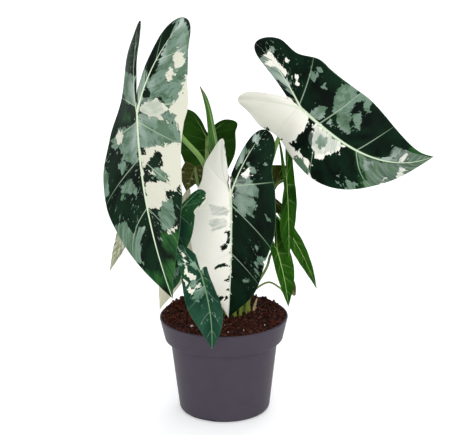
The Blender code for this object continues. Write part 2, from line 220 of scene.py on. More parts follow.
lamp("key", "SUN", (.1, -2.2, 1.3), 1.15, 50)
lamp("side", "AREA", (1.6, -1.6, .9), 5, 1.2)
lamp("low", "AREA", (-.8, -1.1, .12), 2.6, .6)
lamp("rim", "AREA", (.4, 1.3, 1.6), 10, 1.2)

# %% [markdown]
# ## Surfaces from arrays
#
# Every new piece is one or more grids of points.  A grid needs nothing but its shape to know its
# faces.  Where two grids meet, or a whole row closes to a pole, the points share a place and are
# welded, so that the finished skin is closed.

# %% Grids, welding and meshes
WELD = 1e-6                   # points closer than this are one point


def grid_faces(rows, columns, start=0, flip=False, wrap=False):
    """Corner numbers of a grid's quads, for points numbered row by row.

    `wrap` joins the last column to the first.  `flip` turns the faces over."""
    number = start + np.arange(rows * columns).reshape(rows, columns)
    if wrap:
        number = np.concatenate((number, number[:, :1]), 1)
    quads = np.stack((number[:-1, :-1], number[1:, :-1], number[1:, 1:], number[:-1, 1:]), -1)
    quads = quads.reshape(-1, 4)
    return quads[:, ::-1] if flip else quads


def weld(points, quads):
    """Merge points that share a place.  Return which points stay, and the triangles left.

    A quad becomes two triangles, and a triangle that lost a corner is dropped."""
    keys = np.round(points / WELD).astype(np.int64)
    _, kept, number = np.unique(keys, axis=0, return_index=True, return_inverse=True)
    quads = number.reshape(-1)[quads]
    faces = np.concatenate((quads[:, (0, 1, 2)], quads[:, (0, 2, 3)]))
    a, b, c = faces.T
    whole = (a != b) & (b != c) & (c != a)
    return kept, faces[whole], np.tile(np.arange(len(quads)), 2)[whole]


def make_piece(name, points, faces, materials, fields=None, face_material=None):
    """A mesh object at the origin from welded arrays, smooth, with its fields as attributes."""
    mesh = bpy.data.meshes.new(name)
    mesh.from_pydata(points, [], faces.tolist())
    for key, values in (fields or {}).items():
        layer = mesh.attributes.new(key, "FLOAT_VECTOR", "POINT")
        layer.data.foreach_set("vector", np.asarray(values, np.float32).ravel())
    for material in materials:
        mesh.materials.append(material)
    if face_material is not None:
        mesh.polygons.foreach_set("material_index", np.asarray(face_material, np.int32))
    mesh.shade_smooth()
    mesh.update()
    piece = into_scene(name, mesh)
    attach(piece, "root")
    return piece


def skin(name, grids, materials, fields=(), **options):
    """One piece from closed grids: each is (points of shape rows x columns x 3, flip, wrap)."""
    points, quads, start = [], [], 0
    for surface, flip, wrap in grids:
        rows, columns = surface.shape[:2]
        points.append(surface.reshape(-1, 3))
        quads.append(grid_faces(rows, columns, start, flip, wrap))
        start += rows * columns
    points, quads = np.concatenate(points), np.concatenate(quads)
    kept, faces, _ = weld(points, quads)
    named = {key: values[kept] for key, values in dict(fields).items()}
    return make_piece(name, points[kept], faces, materials, named, **options)


print("a 3 x 4 grid has", len(grid_faces(3, 4)), "quads")

# %% [markdown]
# ## The nursery pot
#
# The pot is a thin shell of recycled polypropylene, thermoformed: a rounded foot, a sloping body, a
# ledge, a wider collar and a rolled rim.  On a lathe-like shape the outline is the whole design, so
# it is a profile carried round the axis.  The CAD pot has the same profile with 48 flats; this one
# has enough steps to keep the highlights on the collar smooth.  The drain holes and the notches in
# the foot are then cut.  Its printed marks are left off.

# %% Pot profile
RIM_RADIUS = .0600
POT_HEIGHT = .0922
COLLAR_FOOT = .0712           # height of the ledge
COLLAR_FOOT_RADIUS = .0555
BODY_TOP_RADIUS = .0502
BODY_FOOT_RADIUS = .0428
FOOT_ROUNDING = .0050
WALL = .0012
ROLL = .0011                  # the rim's rolled bead
POT_STEPS = 180


def bow(centre, radius, start, end, points):
    """(radius, height) points on an arc, in degrees from outward level."""
    angle = np.radians(np.linspace(start, end, points))
    return np.stack((centre[0] + radius * np.cos(angle), centre[1] + radius * np.sin(angle)), 1)


def wall_line(inset):
    """The wall's outline from foot to ledge, `inset` inside the outer face, with soft corners."""
    foot = bow((BODY_FOOT_RADIUS - FOOT_ROUNDING, FOOT_ROUNDING), FOOT_ROUNDING - inset, -90, -6, 9)
    low = foot[-1]
    high = np.array((BODY_TOP_RADIUS - inset, COLLAR_FOOT - .0024 + inset))
    side = low + (high - low) * np.linspace(.03, 1, 12)[:, None]
    shoulder = bow((BODY_TOP_RADIUS + .0016 - inset, COLLAR_FOOT - .0024 + inset), .0016, 180, 98, 5)
    lip = bow((COLLAR_FOOT_RADIUS - .0010 - inset, COLLAR_FOOT + .0004 + inset), .0010, -82, 0, 5)
    return np.concatenate((foot, side, shoulder[1:], lip))


rim_centre = (RIM_RADIUS - ROLL, POT_HEIGHT - ROLL)
collar_top = np.array(((RIM_RADIUS - .0004, POT_HEIGHT - 2.6 * ROLL),))
outer_line = np.concatenate((((0, 0), (.02, 0)), wall_line(0), collar_top))
inner_line = np.concatenate((((0, WALL), (.02, WALL)), wall_line(WALL),
                             collar_top - (WALL, 0)))
bead = bow(rim_centre, ROLL, -35, 200, 14)
profile = np.concatenate((outer_line, bead, inner_line[::-1]))
print("rim diameter (mm):", 2 * RIM_RADIUS / MM)

# %% Turning a profile and cutting holes
def turned(line, steps):
    """A profile of (radius, height) carried round the Z axis: rows follow it, columns go round."""
    turn = np.linspace(0, 2 * math.pi, steps, endpoint=False)
    radius, height = line[:, :1], line[:, 1:]
    return np.stack((radius * np.cos(turn), radius * np.sin(turn), height + 0 * turn), -1)


def cutter(name, centre, size, heading, sides):
    """A prism to cut with: a ring of `sides` corners, stretched to `size`, turned to a heading."""
    turn = 2 * math.pi * (np.arange(sides) + .5) / sides
    across = size[0] / 2 / math.cos(math.pi / sides) * np.cos(turn)
    along = size[1] / 2 / math.cos(math.pi / sides) * np.sin(turn)
    c, s = math.cos(heading), math.sin(heading)
    ring = np.stack((centre[0] + c * across - s * along, centre[1] + s * across + c * along), -1)
    levels = [np.concatenate((ring, np.full((sides, 1), z)), 1) for z in (-.002, size[2])]
    caps = [np.broadcast_to(level.mean(0), level.shape) for level in levels]
    grid = np.stack((caps[0], levels[0], levels[1], caps[1]))
    kept, faces, _ = weld(grid.reshape(-1, 3), grid_faces(4, sides, wrap=True, flip=True))
    mesh = bpy.data.meshes.new(name)
    mesh.from_pydata(grid.reshape(-1, 3)[kept], [], faces.tolist())
    return into_scene(name, mesh)


def carve(piece, tools):
    """Take the tools out of a piece, keep the result as its mesh, and remove the tools."""
    for tool in tools:
        boolean = piece.modifiers.new(tool.name, "BOOLEAN")
        boolean.object = tool
        boolean.operation = "DIFFERENCE"
        boolean.solver = "EXACT"
    ready = piece.evaluated_get(bpy.context.evaluated_depsgraph_get())
    solid = bpy.data.meshes.new_from_object(ready)
    piece.modifiers.clear()
    piece.data = solid
    for tool in tools:
        bpy.data.objects.remove(tool, do_unlink=True)


print("pot surface:", turned(profile, POT_STEPS).shape)

# %% The pot's plastic, and the finished pot
# Polypropylene with a matt-satin mould finish: a broad soft highlight, and a fine even grain.
plastic, node, shader = finish_of("satin polypropylene", Roughness=.42, Specular_IOR_Level=.1)
place = node("TexCoord").outputs["Object"]
mottle = node("TexNoise", place, 60, 4, .6)
tone = node("Mix", mottle, "39343D", "443E48")
grit = node("TexNoise", place, 1600, 2)
# Faint rings left where the hot sheet was drawn down the mould, about 3 mm apart.
rings = node("TexWave", place, 105, 1.2, 1, bands_direction="Z")
height = node("Math", rings, .18, grit, operation="MULTIPLY_ADD")
relief = node("Bump", Height=height, Strength=.12, Distance=.0002)
gloss = node("MapRange", mottle, 0, 1, .38, .5)
feed(shader, Base_Color=tone, Normal=relief, Roughness=gloss)

surface = turned(profile, POT_STEPS)
pot = skin("nursery_pot", [(surface, True, True)], [plastic])
tools = []
for label, out, size, sides, headings in (
        ("drain", .027, (.0072, .0072, .004), 24, range(0, 360, 45)),
        ("notch", .0445, (.012, .024, .0032), 4, (-117, 63))):
    for i, a in enumerate(np.radians(headings)):
        facing = a if label == "notch" else 0   # a round hole faces no way
        centre = out * math.cos(a), out * math.sin(a)
        tools.append(cutter(f"{label}_{i}", centre, size, facing, sides))
carve(pot, tools)
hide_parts("pot")
print("pot faces:", len(pot.data.polygons))

# %% [markdown]
# ## The potting mix
#
# The mix is damp coir and bark with white perlite.  Three things give it away: an uneven top, loose
# crumbs of many sizes that catch light and cast small shadows, and a few bright grains.  The body
# is a turned surface whose top is pushed up and down by a sum of small waves.  Crumbs and grains
# are one rough ball each, copied hundreds of times with its own size, turn and place, and the coir
# fibres are thin bent strands.  A fixed seed makes every run the same.

# %% The body of the soil
SOIL_TOP = .0892
SOIL_EDGE = .0574
SOIL_FOOT = .0050
TOP_ROWS = 90
TOP_STEPS = 300
random = np.random.default_rng(11)
WAVES = 60
wave_turn = random.uniform(0, 2 * math.pi, WAVES)
wave_length = random.uniform(.004, .03, WAVES)
wave_start = random.uniform(0, 2 * math.pi, WAVES)


def soil_height(x, y):
    """Height of the soil: a low mound, a heap against the wall that is highest at the back, and
    many small waves, taller where they are longer."""
    along = x[..., None] * np.cos(wave_turn) + y[..., None] * np.sin(wave_turn)
    ripple = np.sin(2 * math.pi * along / wave_length + wave_start) * wave_length
    mound = .0011 * np.exp(-(np.hypot(x - .010, y - .010) / .028) ** 2)
    out = np.hypot(x, y)
    behind = np.clip(.55 + .6 * y / np.maximum(out, .001), 0, 1)
    heap = np.clip((out - .038) / .014, 0, 1) ** 2 * (.0008 + .0034 * behind)
    return SOIL_TOP + mound + heap + .0085 * ripple.sum(-1)


radius = SOIL_EDGE * np.linspace(0, 1, TOP_ROWS)[:, None]
turn = np.linspace(0, 2 * math.pi, TOP_STEPS, endpoint=False)
x, y = radius * np.cos(turn), radius * np.sin(turn)
top = np.stack((x, y, soil_height(x, y)), -1)
side_line = np.array(((.0570, .0865), (.0536, .0718), (.0487, .0695), (.0412, SOIL_FOOT),
                      (0, SOIL_FOOT)))
under = turned(side_line, TOP_STEPS)

# Damp coir fibre and composted bark in random patches, from nearly black to red-brown, and rough
# enough to have no highlight.
mix, node, shader = finish_of("damp coir potting mix", Roughness=.92, Specular_IOR_Level=.25)
place = node("TexCoord").outputs["Object"]
clods = node("TexNoise", place, 330, 5, .65)
spots = node("TexVoronoi", place, 620)
ramp = node("ValToRGB", clods)
for stop, code in ((.34, "0E0503"), (.46, "280D07"), (.57, "4C1C0D"), (.7, "784026")):
    element = ramp.color_ramp.elements.new(stop)
    element.color = colour(code)
for end in (0, -1):
    ramp.color_ramp.elements.remove(ramp.color_ramp.elements[end])
speck = node("Math", spots.outputs["Color"], .93, operation="GREATER_THAN")
tone = node("Mix", speck, ramp, "7A5236")
fine = node("TexNoise", place, 1500, 4)
relief = node("Bump", Height=fine, Strength=.8, Distance=.0008)
feed(shader, Base_Color=tone, Normal=relief)

soil = skin("potting_mix", [(np.concatenate((top, under)), False, True)], [mix])
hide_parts("soil")
print("soil top (mm):", round(top[..., 2].min() / MM, 1), "to", round(top[..., 2].max() / MM, 1))

# %% Crumbs and perlite
def ball(rows, columns):
    """Unit directions on a ball: rows from pole to pole, columns round it."""
    fall = np.linspace(0, math.pi, rows)[:, None]
    turn = np.linspace(0, 2 * math.pi, columns, endpoint=False)
    return np.stack((np.sin(fall) * np.cos(turn), np.sin(fall) * np.sin(turn),
                     np.cos(fall) + 0 * turn), -1)


BALL = (5, 7)                 # rows and columns of one crumb, which gives it 42 faces


def scatter(name, count, sizes, reach, material, flatness, sink):
    """Rough balls on the soil: each corner of a ball is pushed in or out by a share of its own.

    Places are spread evenly over a disc of radius `reach`, and most balls are near the smaller
    size.  `flatness` squashes them, and `sink` sets how deep they lie."""
    shape = ball(*BALL).reshape(-1, 3)
    kept, faces, _ = weld(shape, grid_faces(*BALL, wrap=True))
    shape = shape[kept]
    distance = reach * np.sqrt(random.uniform(0, 1, count))
    turn = random.uniform(0, 2 * math.pi, count)
    spot = np.stack((distance * np.cos(turn), distance * np.sin(turn)), -1)
    size = random.uniform(0, 1, count) ** 2.5 * (sizes[1] - sizes[0]) + sizes[0]
    rough = 1 + random.normal(0, .16, (count, len(shape)))
    stretch = random.uniform(.65, 1.3, (count, 1, 3)) * (1, 1, flatness)
    # Three random directions, made square to one another, turn each ball its own way.
    frames, _ = np.linalg.qr(random.normal(size=(count, 3, 3)))
    frames *= np.sign(np.linalg.det(frames))[:, None, None]
    points = (shape * rough[..., None] * stretch * size[:, None, None]) @ frames
    points[..., :2] += spot[:, None]
    points[..., 2] += (soil_height(*spot.T) + size * (flatness - sink))[:, None]
    every = faces + np.arange(count)[:, None, None] * len(shape)
    return make_piece(name, points.reshape(-1, 3), every.reshape(-1, 3), [material])


# Expanded perlite: a light volcanic glass, chalk white and full of pits.
perlite, node, shader = finish_of("expanded perlite", Roughness=.8)
place = node("TexCoord").outputs["Object"]
pits = node("TexVoronoi", place, 2600)
tone = node("Mix", pits, "B9AFA4", "EDE9E2")
relief = node("Bump", Height=pits, Strength=.5, Distance=.0003)
feed(shader, Base_Color=tone, Normal=relief)

CRUMBS = 3000
GRAINS = 46
crumbs = scatter("soil_crumbs", CRUMBS, (.0004, .0021), .0575, mix, .8, .25)
grains = scatter("perlite_grains", GRAINS, (.0005, .0017), .054, perlite, .9, .3)
print("crumbs:", CRUMBS, " grains:", GRAINS)

# %% Coir fibres
FIBRES = 260
STRAND = 7                    # points along one fibre
share = np.linspace(-.5, .5, STRAND)
distance = .055 * np.sqrt(random.uniform(0, 1, FIBRES))
turn = random.uniform(0, 2 * math.pi, FIBRES)
heading = random.uniform(0, 2 * math.pi, FIBRES)[:, None]
heading = heading + share * random.normal(0, 1.6, (FIBRES, 1))
length = random.uniform(.003, .011, FIBRES)[:, None]
step = length / STRAND
line_x = (distance * np.cos(turn))[:, None] * .9 + np.cumsum(np.cos(heading) * step, 1)
line_y = (distance * np.sin(turn))[:, None] * .9 + np.cumsum(np.sin(heading) * step, 1)
arch = random.uniform(.0003, .0022, FIBRES)[:, None] * (1 - (2 * share) ** 2)
line = np.stack((line_x, line_y, soil_height(line_x, line_y) + arch), -1)
around = np.array(((-.5, -.3), (.5, -.3), (0, .6)))
taper = np.sqrt(1.02 - (2 * share) ** 2)[:, None]
thick = random.uniform(.00012, .0003, FIBRES)[:, None, None] * taper
across = np.stack((-np.sin(heading), np.cos(heading), 0 * heading), -1)[:, :, None]
rim = across * around[:, :1] + np.array((0, 0, 1)) * around[:, 1:]
ring = line[:, :, None] + thick[..., None] * rim
ends = np.broadcast_to(ring.mean(2, keepdims=True), ring.shape)
ring = np.concatenate((ends[:, :1], ring, ends[:, -1:]), 1)
faces = grid_faces(STRAND + 2, 3, wrap=True, flip=True)
faces = faces + np.arange(FIBRES)[:, None, None] * 3 * (STRAND + 2)
kept, faces, _ = weld(ring.reshape(-1, 3), faces.reshape(-1, 4))

# Coir: dry husk fibre, straw to rust brown.
coir, node, shader = finish_of("coir fibre", Roughness=.8)
place = node("TexCoord").outputs["Object"]
shade = node("TexNoise", place, 120, 2)
feed(shader, Base_Color=node("Mix", shade, "3A1C10", "8A5A38"))
fibres = make_piece("coir_fibres", ring.reshape(-1, 3)[kept], faces, [coir])
print("fibres:", FIBRES, " triangles:", len(fibres.data.polygons))

# %% [markdown]
# ## How a leaf is shaped
#
# An alocasia blade is an arrowhead.  The stem joins it at the notch between two basal lobes.  Three
# ribs leave that point: the midrib runs to the tip, and one rib runs down each lobe.  Modelling it
# by hand would take hours for each leaf, and all fourteen share a plan.  So one flat half blank is
# drawn as an outline.  A leaf's record then says how its midrib points and bends, how far each half
# folds up, and where its own margin swells or shrinks.  These are the same records that the CAD
# solids were made from, so every fine blade lies where its CAD blade lies.

# %% The records
# One half of the blade, laid flat: how far the margin stands from the axis, as a share of the half
# width.  -1 is the tip of the basal lobe, 0 is where the stem joins and 1 is the leaf tip.
OUTLINE = ((-1, .92), (-.8, .93), (-.5, .94), (-.2, .93), (0, .95), (.2, 1), (.35, .99),
           (.5, .88), (.65, .68), (.8, .42), (.92, .16), (1, 0))
MARGIN_STATIONS = (-1, -.75, -.45, -.15, .2, .5, .8, 1)
EVEN = (1, 1, 1, 1, 1, 1)
HAND = {1: "right", -1: "left"}
ROOF = .22                    # how far the lobe's axis stays from its sinus margin
# How far a side vein that leaves the rib at a station has moved along the leaf at the margin.
SWEEP = ((-.6, -.15), (-.2, -.16), (-.04, -.12), (.02, .08), (.15, .14), (.3, .19), (.5, .19),
         (.8, .11), (1, .02))
CROWN_TOP = 89.0              # mm
INTO_CROWN = 3                # mm that a stem reaches down into the crown
NECK_SHARE = .06              # length of the bend under the blade, as a share of the leaf's
BELOW_BLADE = 3.2             # mm from the blade's face to the middle of the stem's end


def leaf(at, length, width, heading, dip, tilt, base, stem, lobes=(.5, .5), spread=.64, web=.2,
         droop=(0, 0, 10), sway=(0, 0, 0), twist=(0, 0), right_fold=(10, 0, 0), left_fold=(10, 0, 0),
         curl=(2, 2), right_margin=EVEN, left_margin=EVEN, stem_radius=(2.0, 1.2),
         skin="green", laterals=(-.4, -.22, -.05, .05, .24, .48, .72), blush=.2,
         scattered=(-20, -20, -20), age=.3, right_sweep=SWEEP, left_sweep=SWEEP):
    """A leaf's measures in mm and degrees, by name.

    at: where the stem joins.  length, width: to the tip, and the half width as a share of it.
    heading, dip, tilt: where the tip points, how far below level, and the roll about that line.
    lobes, spread, web: the basal lobes' lengths, how far out they stand, how far they are joined.
    droop, sway, twist, folds, curl: how the midrib and each half bend.  margins: swell or shrink.
    base, stem, stem_radius: the stem's foot, the places it passes, its radius at foot and top.
    skin, laterals: its finish, and where side veins leave the ribs.  blush: 0 green stem, 1 brown.
    right_sweep, left_sweep: how far along the leaf the side veins of each half move on their way
    to the margin.
    scattered: depth in mm of cream, sage and green outside the outlines: 0 covers half the blade
    in specks, and -20 none of it.
    age: 0 where cream is white, 1 where it is a darker ivory: partly the real ivory of
    older cream, partly painted shade that dims a leaf the light falls on fully.
    """
    return dict(locals())


LEAVES = {
    "front_left": leaf(
        (-74.2, -50, 298.2), 173, .29, -20, 91, -21, base=(4, 9), stem_radius=(3.0, 1.8),
        stem=((-6, 6, 160), (-17.6, 3, 239.5), (-31.5, -16, 262.5), (-55, -32, 289)),
        lobes=(.577, .432), spread=.63, web=.21, droop=(10, -5, 26), sway=(14, 7, 30), twist=(-12, 5),
        right_fold=(2, 20, -4), left_fold=(-23, 53, -14), curl=(-11, -7),
        right_margin=(.97, 1.08, 1.19, .96, .97, .99), left_margin=(.94, .93, .79, 1.02, 1.06, .93),
        # Its cream is nearly all the darker ivory: partly real ivory, partly painted shade, as this blade
        # faces the light fully.
        skin="variegated", laterals=(-.3, -.03, .04, .23, .5), blush=0, age=.95,
        left_sweep=((-.6, -.15), (-.2, -.12), (-.03, 0), (.04, .16), (.23, .26), (.5, .25),
                    (.8, .12), (1, .02))),
    "upper_right": leaf(
        (71.1, -10, 291.9), 141, .32, 52, 31, -74, base=(22, 11), stem_radius=(3.0, 1.8),
        stem=((26, 10, 118), (34, 8, 190), (44, 7, 236), (56, 7, 267)),
        lobes=(.52, .485), spread=.66, web=.24, droop=(2, 2, -3), sway=(-5, 68, -32), twist=(-28, 6),
        right_fold=(-3, -4, -27), left_fold=(-7, 37, -12), curl=(13, -14),
        right_margin=(1.01, .89, 1.08, 1.01, 1.03, 1.12), left_margin=(.89, .99, .91, .93, .95, .88),
        skin="variegated", laterals=(-.02, .16, .47), blush=.05, age=.05,
        right_sweep=((-.6, -.15), (-.2, -.16), (-.02, -.1), (.16, .12), (.3, .19), (.5, .19),
                     (.8, .11), (1, .02))),
    "centre": leaf(
        (7.4, -27, 217.6), 126, .32, -15, 93, -8, base=(9, 2), stem_radius=(2.8, 1.6),
        stem=((9, 4, 150), (8, -2, 195)),
        lobes=(.545, .35), spread=.6, web=.27, droop=(4, 4, 18), sway=(-7, -1, 27), twist=(-3, -5),
        right_fold=(4, 5, -6), left_fold=(-4, 9, -35), curl=(-10, -2),
        right_margin=(1.02, 1, 1.12, 1.07, .94, 1.18), left_margin=(.82, .89, .85, .99, 1.07, 1.02),
        skin="variegated", laterals=(-.06, .08, .46), blush=.1, age=-.15,
        right_sweep=((-.6, -.15), (-.06, -.08), (.02, .2), (.08, .29), (.25, .27), (.46, .2),
                     (.8, .11), (1, .02))),
    "front_low": leaf(
        (-19.6, -64, 154.7), 70, .29, 39, 64, -35, base=(2.5, 2.5), stem_radius=(2.2, 1.2),
        stem=((-8, -12, 104), (-16, -34, 130)),
        lobes=(.06, .42), spread=.58, web=.6, droop=(20, 4, 10), sway=(-12, -8, 0), twist=(-10, 0),
        right_fold=(69, -21, 0), left_fold=(18, -4, 0), curl=(8, 7),
        right_margin=(1, 1, 1, .9, 1.11, 1.02), left_margin=(1, 1, 1, 1.07, 1.07, .98),
        skin="blue_green", laterals=(-.3, -.1, .05, .24, .5, .75)),
    "left_inner": leaf(
        (-38.1, -42, 207), 83, .25, -47, 76, 13, base=(-1.5, 7), stem_radius=(1.9, 1.1),
        stem=((-16, 0, 108), (-28, -14, 132), (-34, -24, 168)),
        lobes=(.27, .27), spread=.78, droop=(30, 0, 10), sway=(-13, 0, 0),
        right_fold=(5, 0, -18), left_fold=(13, 0, 0),
        right_margin=(1.25, 1.18, .92, .87, .59, 1.05), skin="blue_green", scattered=(-7, -6, 2)),
    "back_high": leaf(
        (-14.3, 50, 251.2), 79, .37, 187, 51, -5, base=(9, 18), stem_radius=(2.2, 1.3),
        stem=((0, 18, 150), (-11, 14, 215), (-14, 26, 243)),
        lobes=(.45, .45), spread=.66, droop=(28, 0, 20), sway=(-7, 0, 0),
        right_fold=(30, 0, -12), left_fold=(12, 0, -21)),
    "right_narrow": leaf(
        (58.8, 0, 221.7), 73, .34, 83, 86, -17, base=(17, 8), stem_radius=(2.0, 1.2),
        stem=((25, 6, 140), (42, 2, 198)),
        lobes=(.56, .56), droop=(5, 0, 10), twist=(10, 0), right_fold=(-6, -4, 0),
        left_fold=(15, -19, 0), scattered=(-20, -20, -3)),
    "right_low": leaf(
        (49.9, 0, 155), 54.5, .28, 59, 71, -6, base=(16, 1.5), stem_radius=(1.7, 1.0),
        stem=((28, 1, 118), (41, 0, 140)),
        lobes=(.54, .54), spread=.74, droop=(10, 0, 10), sway=(-4, 0, 0),
        left_fold=(15, 0, 0), scattered=(-20, -9, -1)),
    "right_outer": leaf(
        (59.9, 48, 163.1), 66, .33, 73, 55, -4, base=(21, 18), stem_radius=(1.7, 1.0),
        stem=((32, 24, 130), (48, 42, 158)),
        droop=(9, 0, 10), sway=(-15, 0, 0), right_fold=(-9, 0, 0), left_fold=(6, 0, 0),
        scattered=(-9, -5, 0)),
    "right_back": leaf(
        (39.7, 28, 204), 47, .46, -100, 0, 75, base=(15, 14), stem_radius=(1.8, 1.1),
        stem=((21, 17, 130), (27, 30, 176)),
        lobes=(.55, .55), spread=1.12, web=.1, droop=(-8, 0, -10),
        right_fold=(-10, 0, 0), left_fold=(5, 0, 0),
        left_margin=(1.24, 1.24, 1.24, 1.24, 1, 1), skin="olive"),
    "right_small": leaf(
        (63.3, 20, 107), 20, .3, -60, -88, -6, base=(21.5, 3.5), stem_radius=(1.2, .8),
        stem=((32, 5, 117), (42, 8, 121), (53, 12, 114)),
        lobes=(.15, .15), droop=(6, 0, 10), right_fold=(24, 0, 0), left_fold=(20, 0, 0),
        skin="olive", scattered=(-2, -1, -5), blush=.35),
    "left_back": leaf(
        (-75.9, 30, 196.3), 78, .26, -85, 61, 17, base=(-1.5, 12.5), stem_radius=(1.8, 1.1),
        stem=((-16, 16, 140), (-45, 24, 190)),
        droop=(11, 0, 10), sway=(-4, 0, 0), right_fold=(5, 0, 0), left_fold=(1, 0, 0),
        skin="faded", scattered=(-.5, .5, 0)),
    "back_low": leaf(
        (-39.4, 55, 156.5), 81, .24, -91, 71, 32, base=(5, 21), stem_radius=(1.7, 1.0),
        stem=((2, 36, 130), (-20, 60, 152)),
        droop=(3, 0, 10), sway=(5, 0, 0), right_fold=(-39, 0, 0), left_fold=(4, 0, 0),
        skin="faded", scattered=(1, 0, 0), blush=.6),
    "inner_small": leaf(
        (-25.5, 30, 228), 34, .33, -155, 54, -13, base=(3, 15.5), stem_radius=(1.6, 1.0),
        stem=((-8, 14, 150), (-20, 12, 205)),
        lobes=(.12, .12), spread=.8, droop=(4, 0, 10), sway=(3, 0, 0),
        right_fold=(13, 0, 0), left_fold=(4, 0, 0), skin="olive", scattered=(-2, -3, 0)),
}
print("leaves:", len(LEAVES), " longest (mm):", max(f["length"] for f in LEAVES.values()))

# %% [markdown]
# ## From flat blank to leaf
#
# A real blade is flat tissue that has bent, folded and curled.  So the blank is bent the same way,
# in two steps.  First the midrib becomes a curve in space, with a frame at each station that says
# which way is along, to the right and up.  Then each half is folded up from it and curled.

# %% A smooth curve, and the midrib in space
def through(stations, values, at):
    """Smooth curve through (station, value) pairs, read at the places `at`.

    Cubic Hermite pieces, with each slope taken from the neighbouring points."""
    stations = np.asarray(stations, float)
    values = np.asarray(values, float)
    slopes = np.gradient(values, stations, axis=0)
    i = np.clip(np.searchsorted(stations, at) - 1, 0, len(stations) - 2)
    step = stations[i + 1] - stations[i]
    s = np.clip((at - stations[i]) / step, 0, 1)
    if values.ndim > 1:
        s, step = s[..., None], step[..., None]
    start = (2 * s ** 3 - 3 * s ** 2 + 1) * values[i] + (s ** 3 - 2 * s ** 2 + s) * step * slopes[i]
    end = (3 * s ** 2 - 2 * s ** 3) * values[i + 1] + (s ** 3 - s ** 2) * step * slopes[i + 1]
    return start + end


def turn_about(axis, degrees):
    """Rotation matrices about X, Y or Z, one for each angle."""
    a = np.radians(degrees)
    c, s, one, zero = np.cos(a), np.sin(a), np.ones_like(a), np.zeros_like(a)
    rows = {"X": (one, zero, zero, zero, c, -s, zero, s, c),
            "Y": (c, zero, s, zero, one, zero, -s, zero, c),
            "Z": (c, -s, zero, s, c, zero, zero, zero, one)}[axis]
    return np.stack(rows, -1).reshape(*np.shape(a), 3, 3)


def rib_frame(form):
    """Columns: along the leaf, to its right, and up from its face, where the stem joins."""
    heading, dip, tilt = (math.radians(form[k]) for k in ("heading", "dip", "tilt"))
    level = np.array((math.sin(heading), -math.cos(heading), 0))
    up = np.array((0, 0, 1))
    along = level * math.cos(dip) - up * math.sin(dip)
    face = level * math.sin(dip) + up * math.cos(dip)
    right = np.cross(face, along)
    face, right = (face * math.cos(tilt) + right * math.sin(tilt),
                   right * math.cos(tilt) - face * math.sin(tilt))
    return np.stack((along, right, face), 1)


def midrib(form, y):
    """Frame and place of the midrib at stations y: 0 at the stem, 1 at the tip, below 0 in the lobes.

    The frame turns by droop, sway and twist.  The place is the sum of the steps along it."""
    def frames(t):
        ahead, back = np.maximum(t, 0), np.minimum(t, 0)
        droop, sway = (form[k][0] * ahead + form[k][1] * ahead ** 2 + form[k][2] * back
                       for k in ("droop", "sway"))
        twist = form["twist"][0] * ahead + form["twist"][1] * back
        return rib_frame(form) @ turn_about("Z", sway) @ turn_about("Y", droop) @ turn_about("X", twist)
    fine = np.linspace(-max(form["lobes"]), 1, 240)
    along = frames(fine)[..., 0] * form["length"] * MM
    steps = (along[1:] + along[:-1]) / 2 * np.diff(fine)[:, None]
    path = np.concatenate((np.zeros((1, 3)), np.cumsum(steps, 0)))
    path -= [np.interp(0, fine, path[:, k]) for k in range(3)]
    place = np.stack([np.interp(y, fine, path[:, k]) for k in range(3)], -1)
    return frames(y), place + np.array(form["at"]) * MM


ends = midrib(LEAVES["front_left"], np.array((0.0, 1.0)))[1]
print("midrib of front_left, stem to tip (mm):", np.round(ends / MM, 1).tolist())

# %% Folding and curling a half
def margins(form, side, y):
    """Shares of the half width at stations y: the margin of the blank, the rib that the half hangs
    from (midrib, or the lobe's rib), and the half's outer and inner edges."""
    back = np.clip(-y / form["lobes"][side < 0], 0, 1)
    station = np.where(y < 0, -back, y)
    margin = form[HAND[side] + "_margin"]
    swell = through(MARGIN_STATIONS, (margin[0], *margin, margin[-1]), station)
    edge = through(*zip(*OUTLINE), station) * swell
    rib = form["spread"] * back
    end = np.sqrt(1 - back ** 8)
    sinus = np.clip((back - form["web"]) / (1 - form["web"]), 0, 1) * (form["spread"] - ROOF)
    return edge, rib, rib + end * (edge - rib), rib - end * (rib - sinus)


def bend_half(form, side, y, x, lift):
    """Where points of one half go: x is the distance out from the midrib, lift the height off the face.

    The half is folded up from the midrib by an angle, then curled on a circular arc, and the
    lift follows the surface's own upright."""
    back = np.clip(-y / form["lobes"][side < 0], 0, 1)
    fold = form[HAND[side] + "_fold"]
    angle = np.radians(fold[0] + fold[1] * np.maximum(y, 0) + fold[2] * back)
    half_width = form["width"] * form["length"] * MM
    bend = (math.radians(form["curl"][side < 0]) + .001) / half_width
    out = (np.sin(angle + bend * x) - np.sin(angle)) / bend
    rise = (np.cos(angle) - np.cos(angle + bend * x)) / bend
    slope = (angle + bend * x) * np.clip(x / (3 * MM), 0, 1)
    out = out - lift * np.sin(slope)
    rise = rise + lift * np.cos(slope)
    frame, centre = midrib(form, y)
    return centre + side * frame[..., 1] * out[..., None] + frame[..., 2] * rise[..., None]


tip = bend_half(LEAVES["front_left"], 1, np.array(1.0), np.array(0.0), 0)
print("tip of front_left (mm):", np.round(tip / MM, 1))

# %% [markdown]
# ## Veins and markings
#
# Side veins leave the ribs at a few places and sweep towards the leaf tip, and those in the lobes
# sweep back.  Each point of the blank gets a vein number: a whole number on a side vein, and halves
# midway.  A material can then draw every vein from that one number.
#
# The variegation follows the veins too: pale tissue fills whole compartments and stops at ragged
# edges.  Each leaf has its own markings, so they are drawn as a few outlines on the flat blank.  A
# field stores how far in mm a point is inside the nearest outline of each kind, and the material
# roughens the edge with noise.

# %% Vein numbers
LOBE_ENDS = (-.85, -.62)      # stations before the first side vein, and after the last
TIP_ENDS = (.9, 1.05, 1.2)
HALVINGS = 20


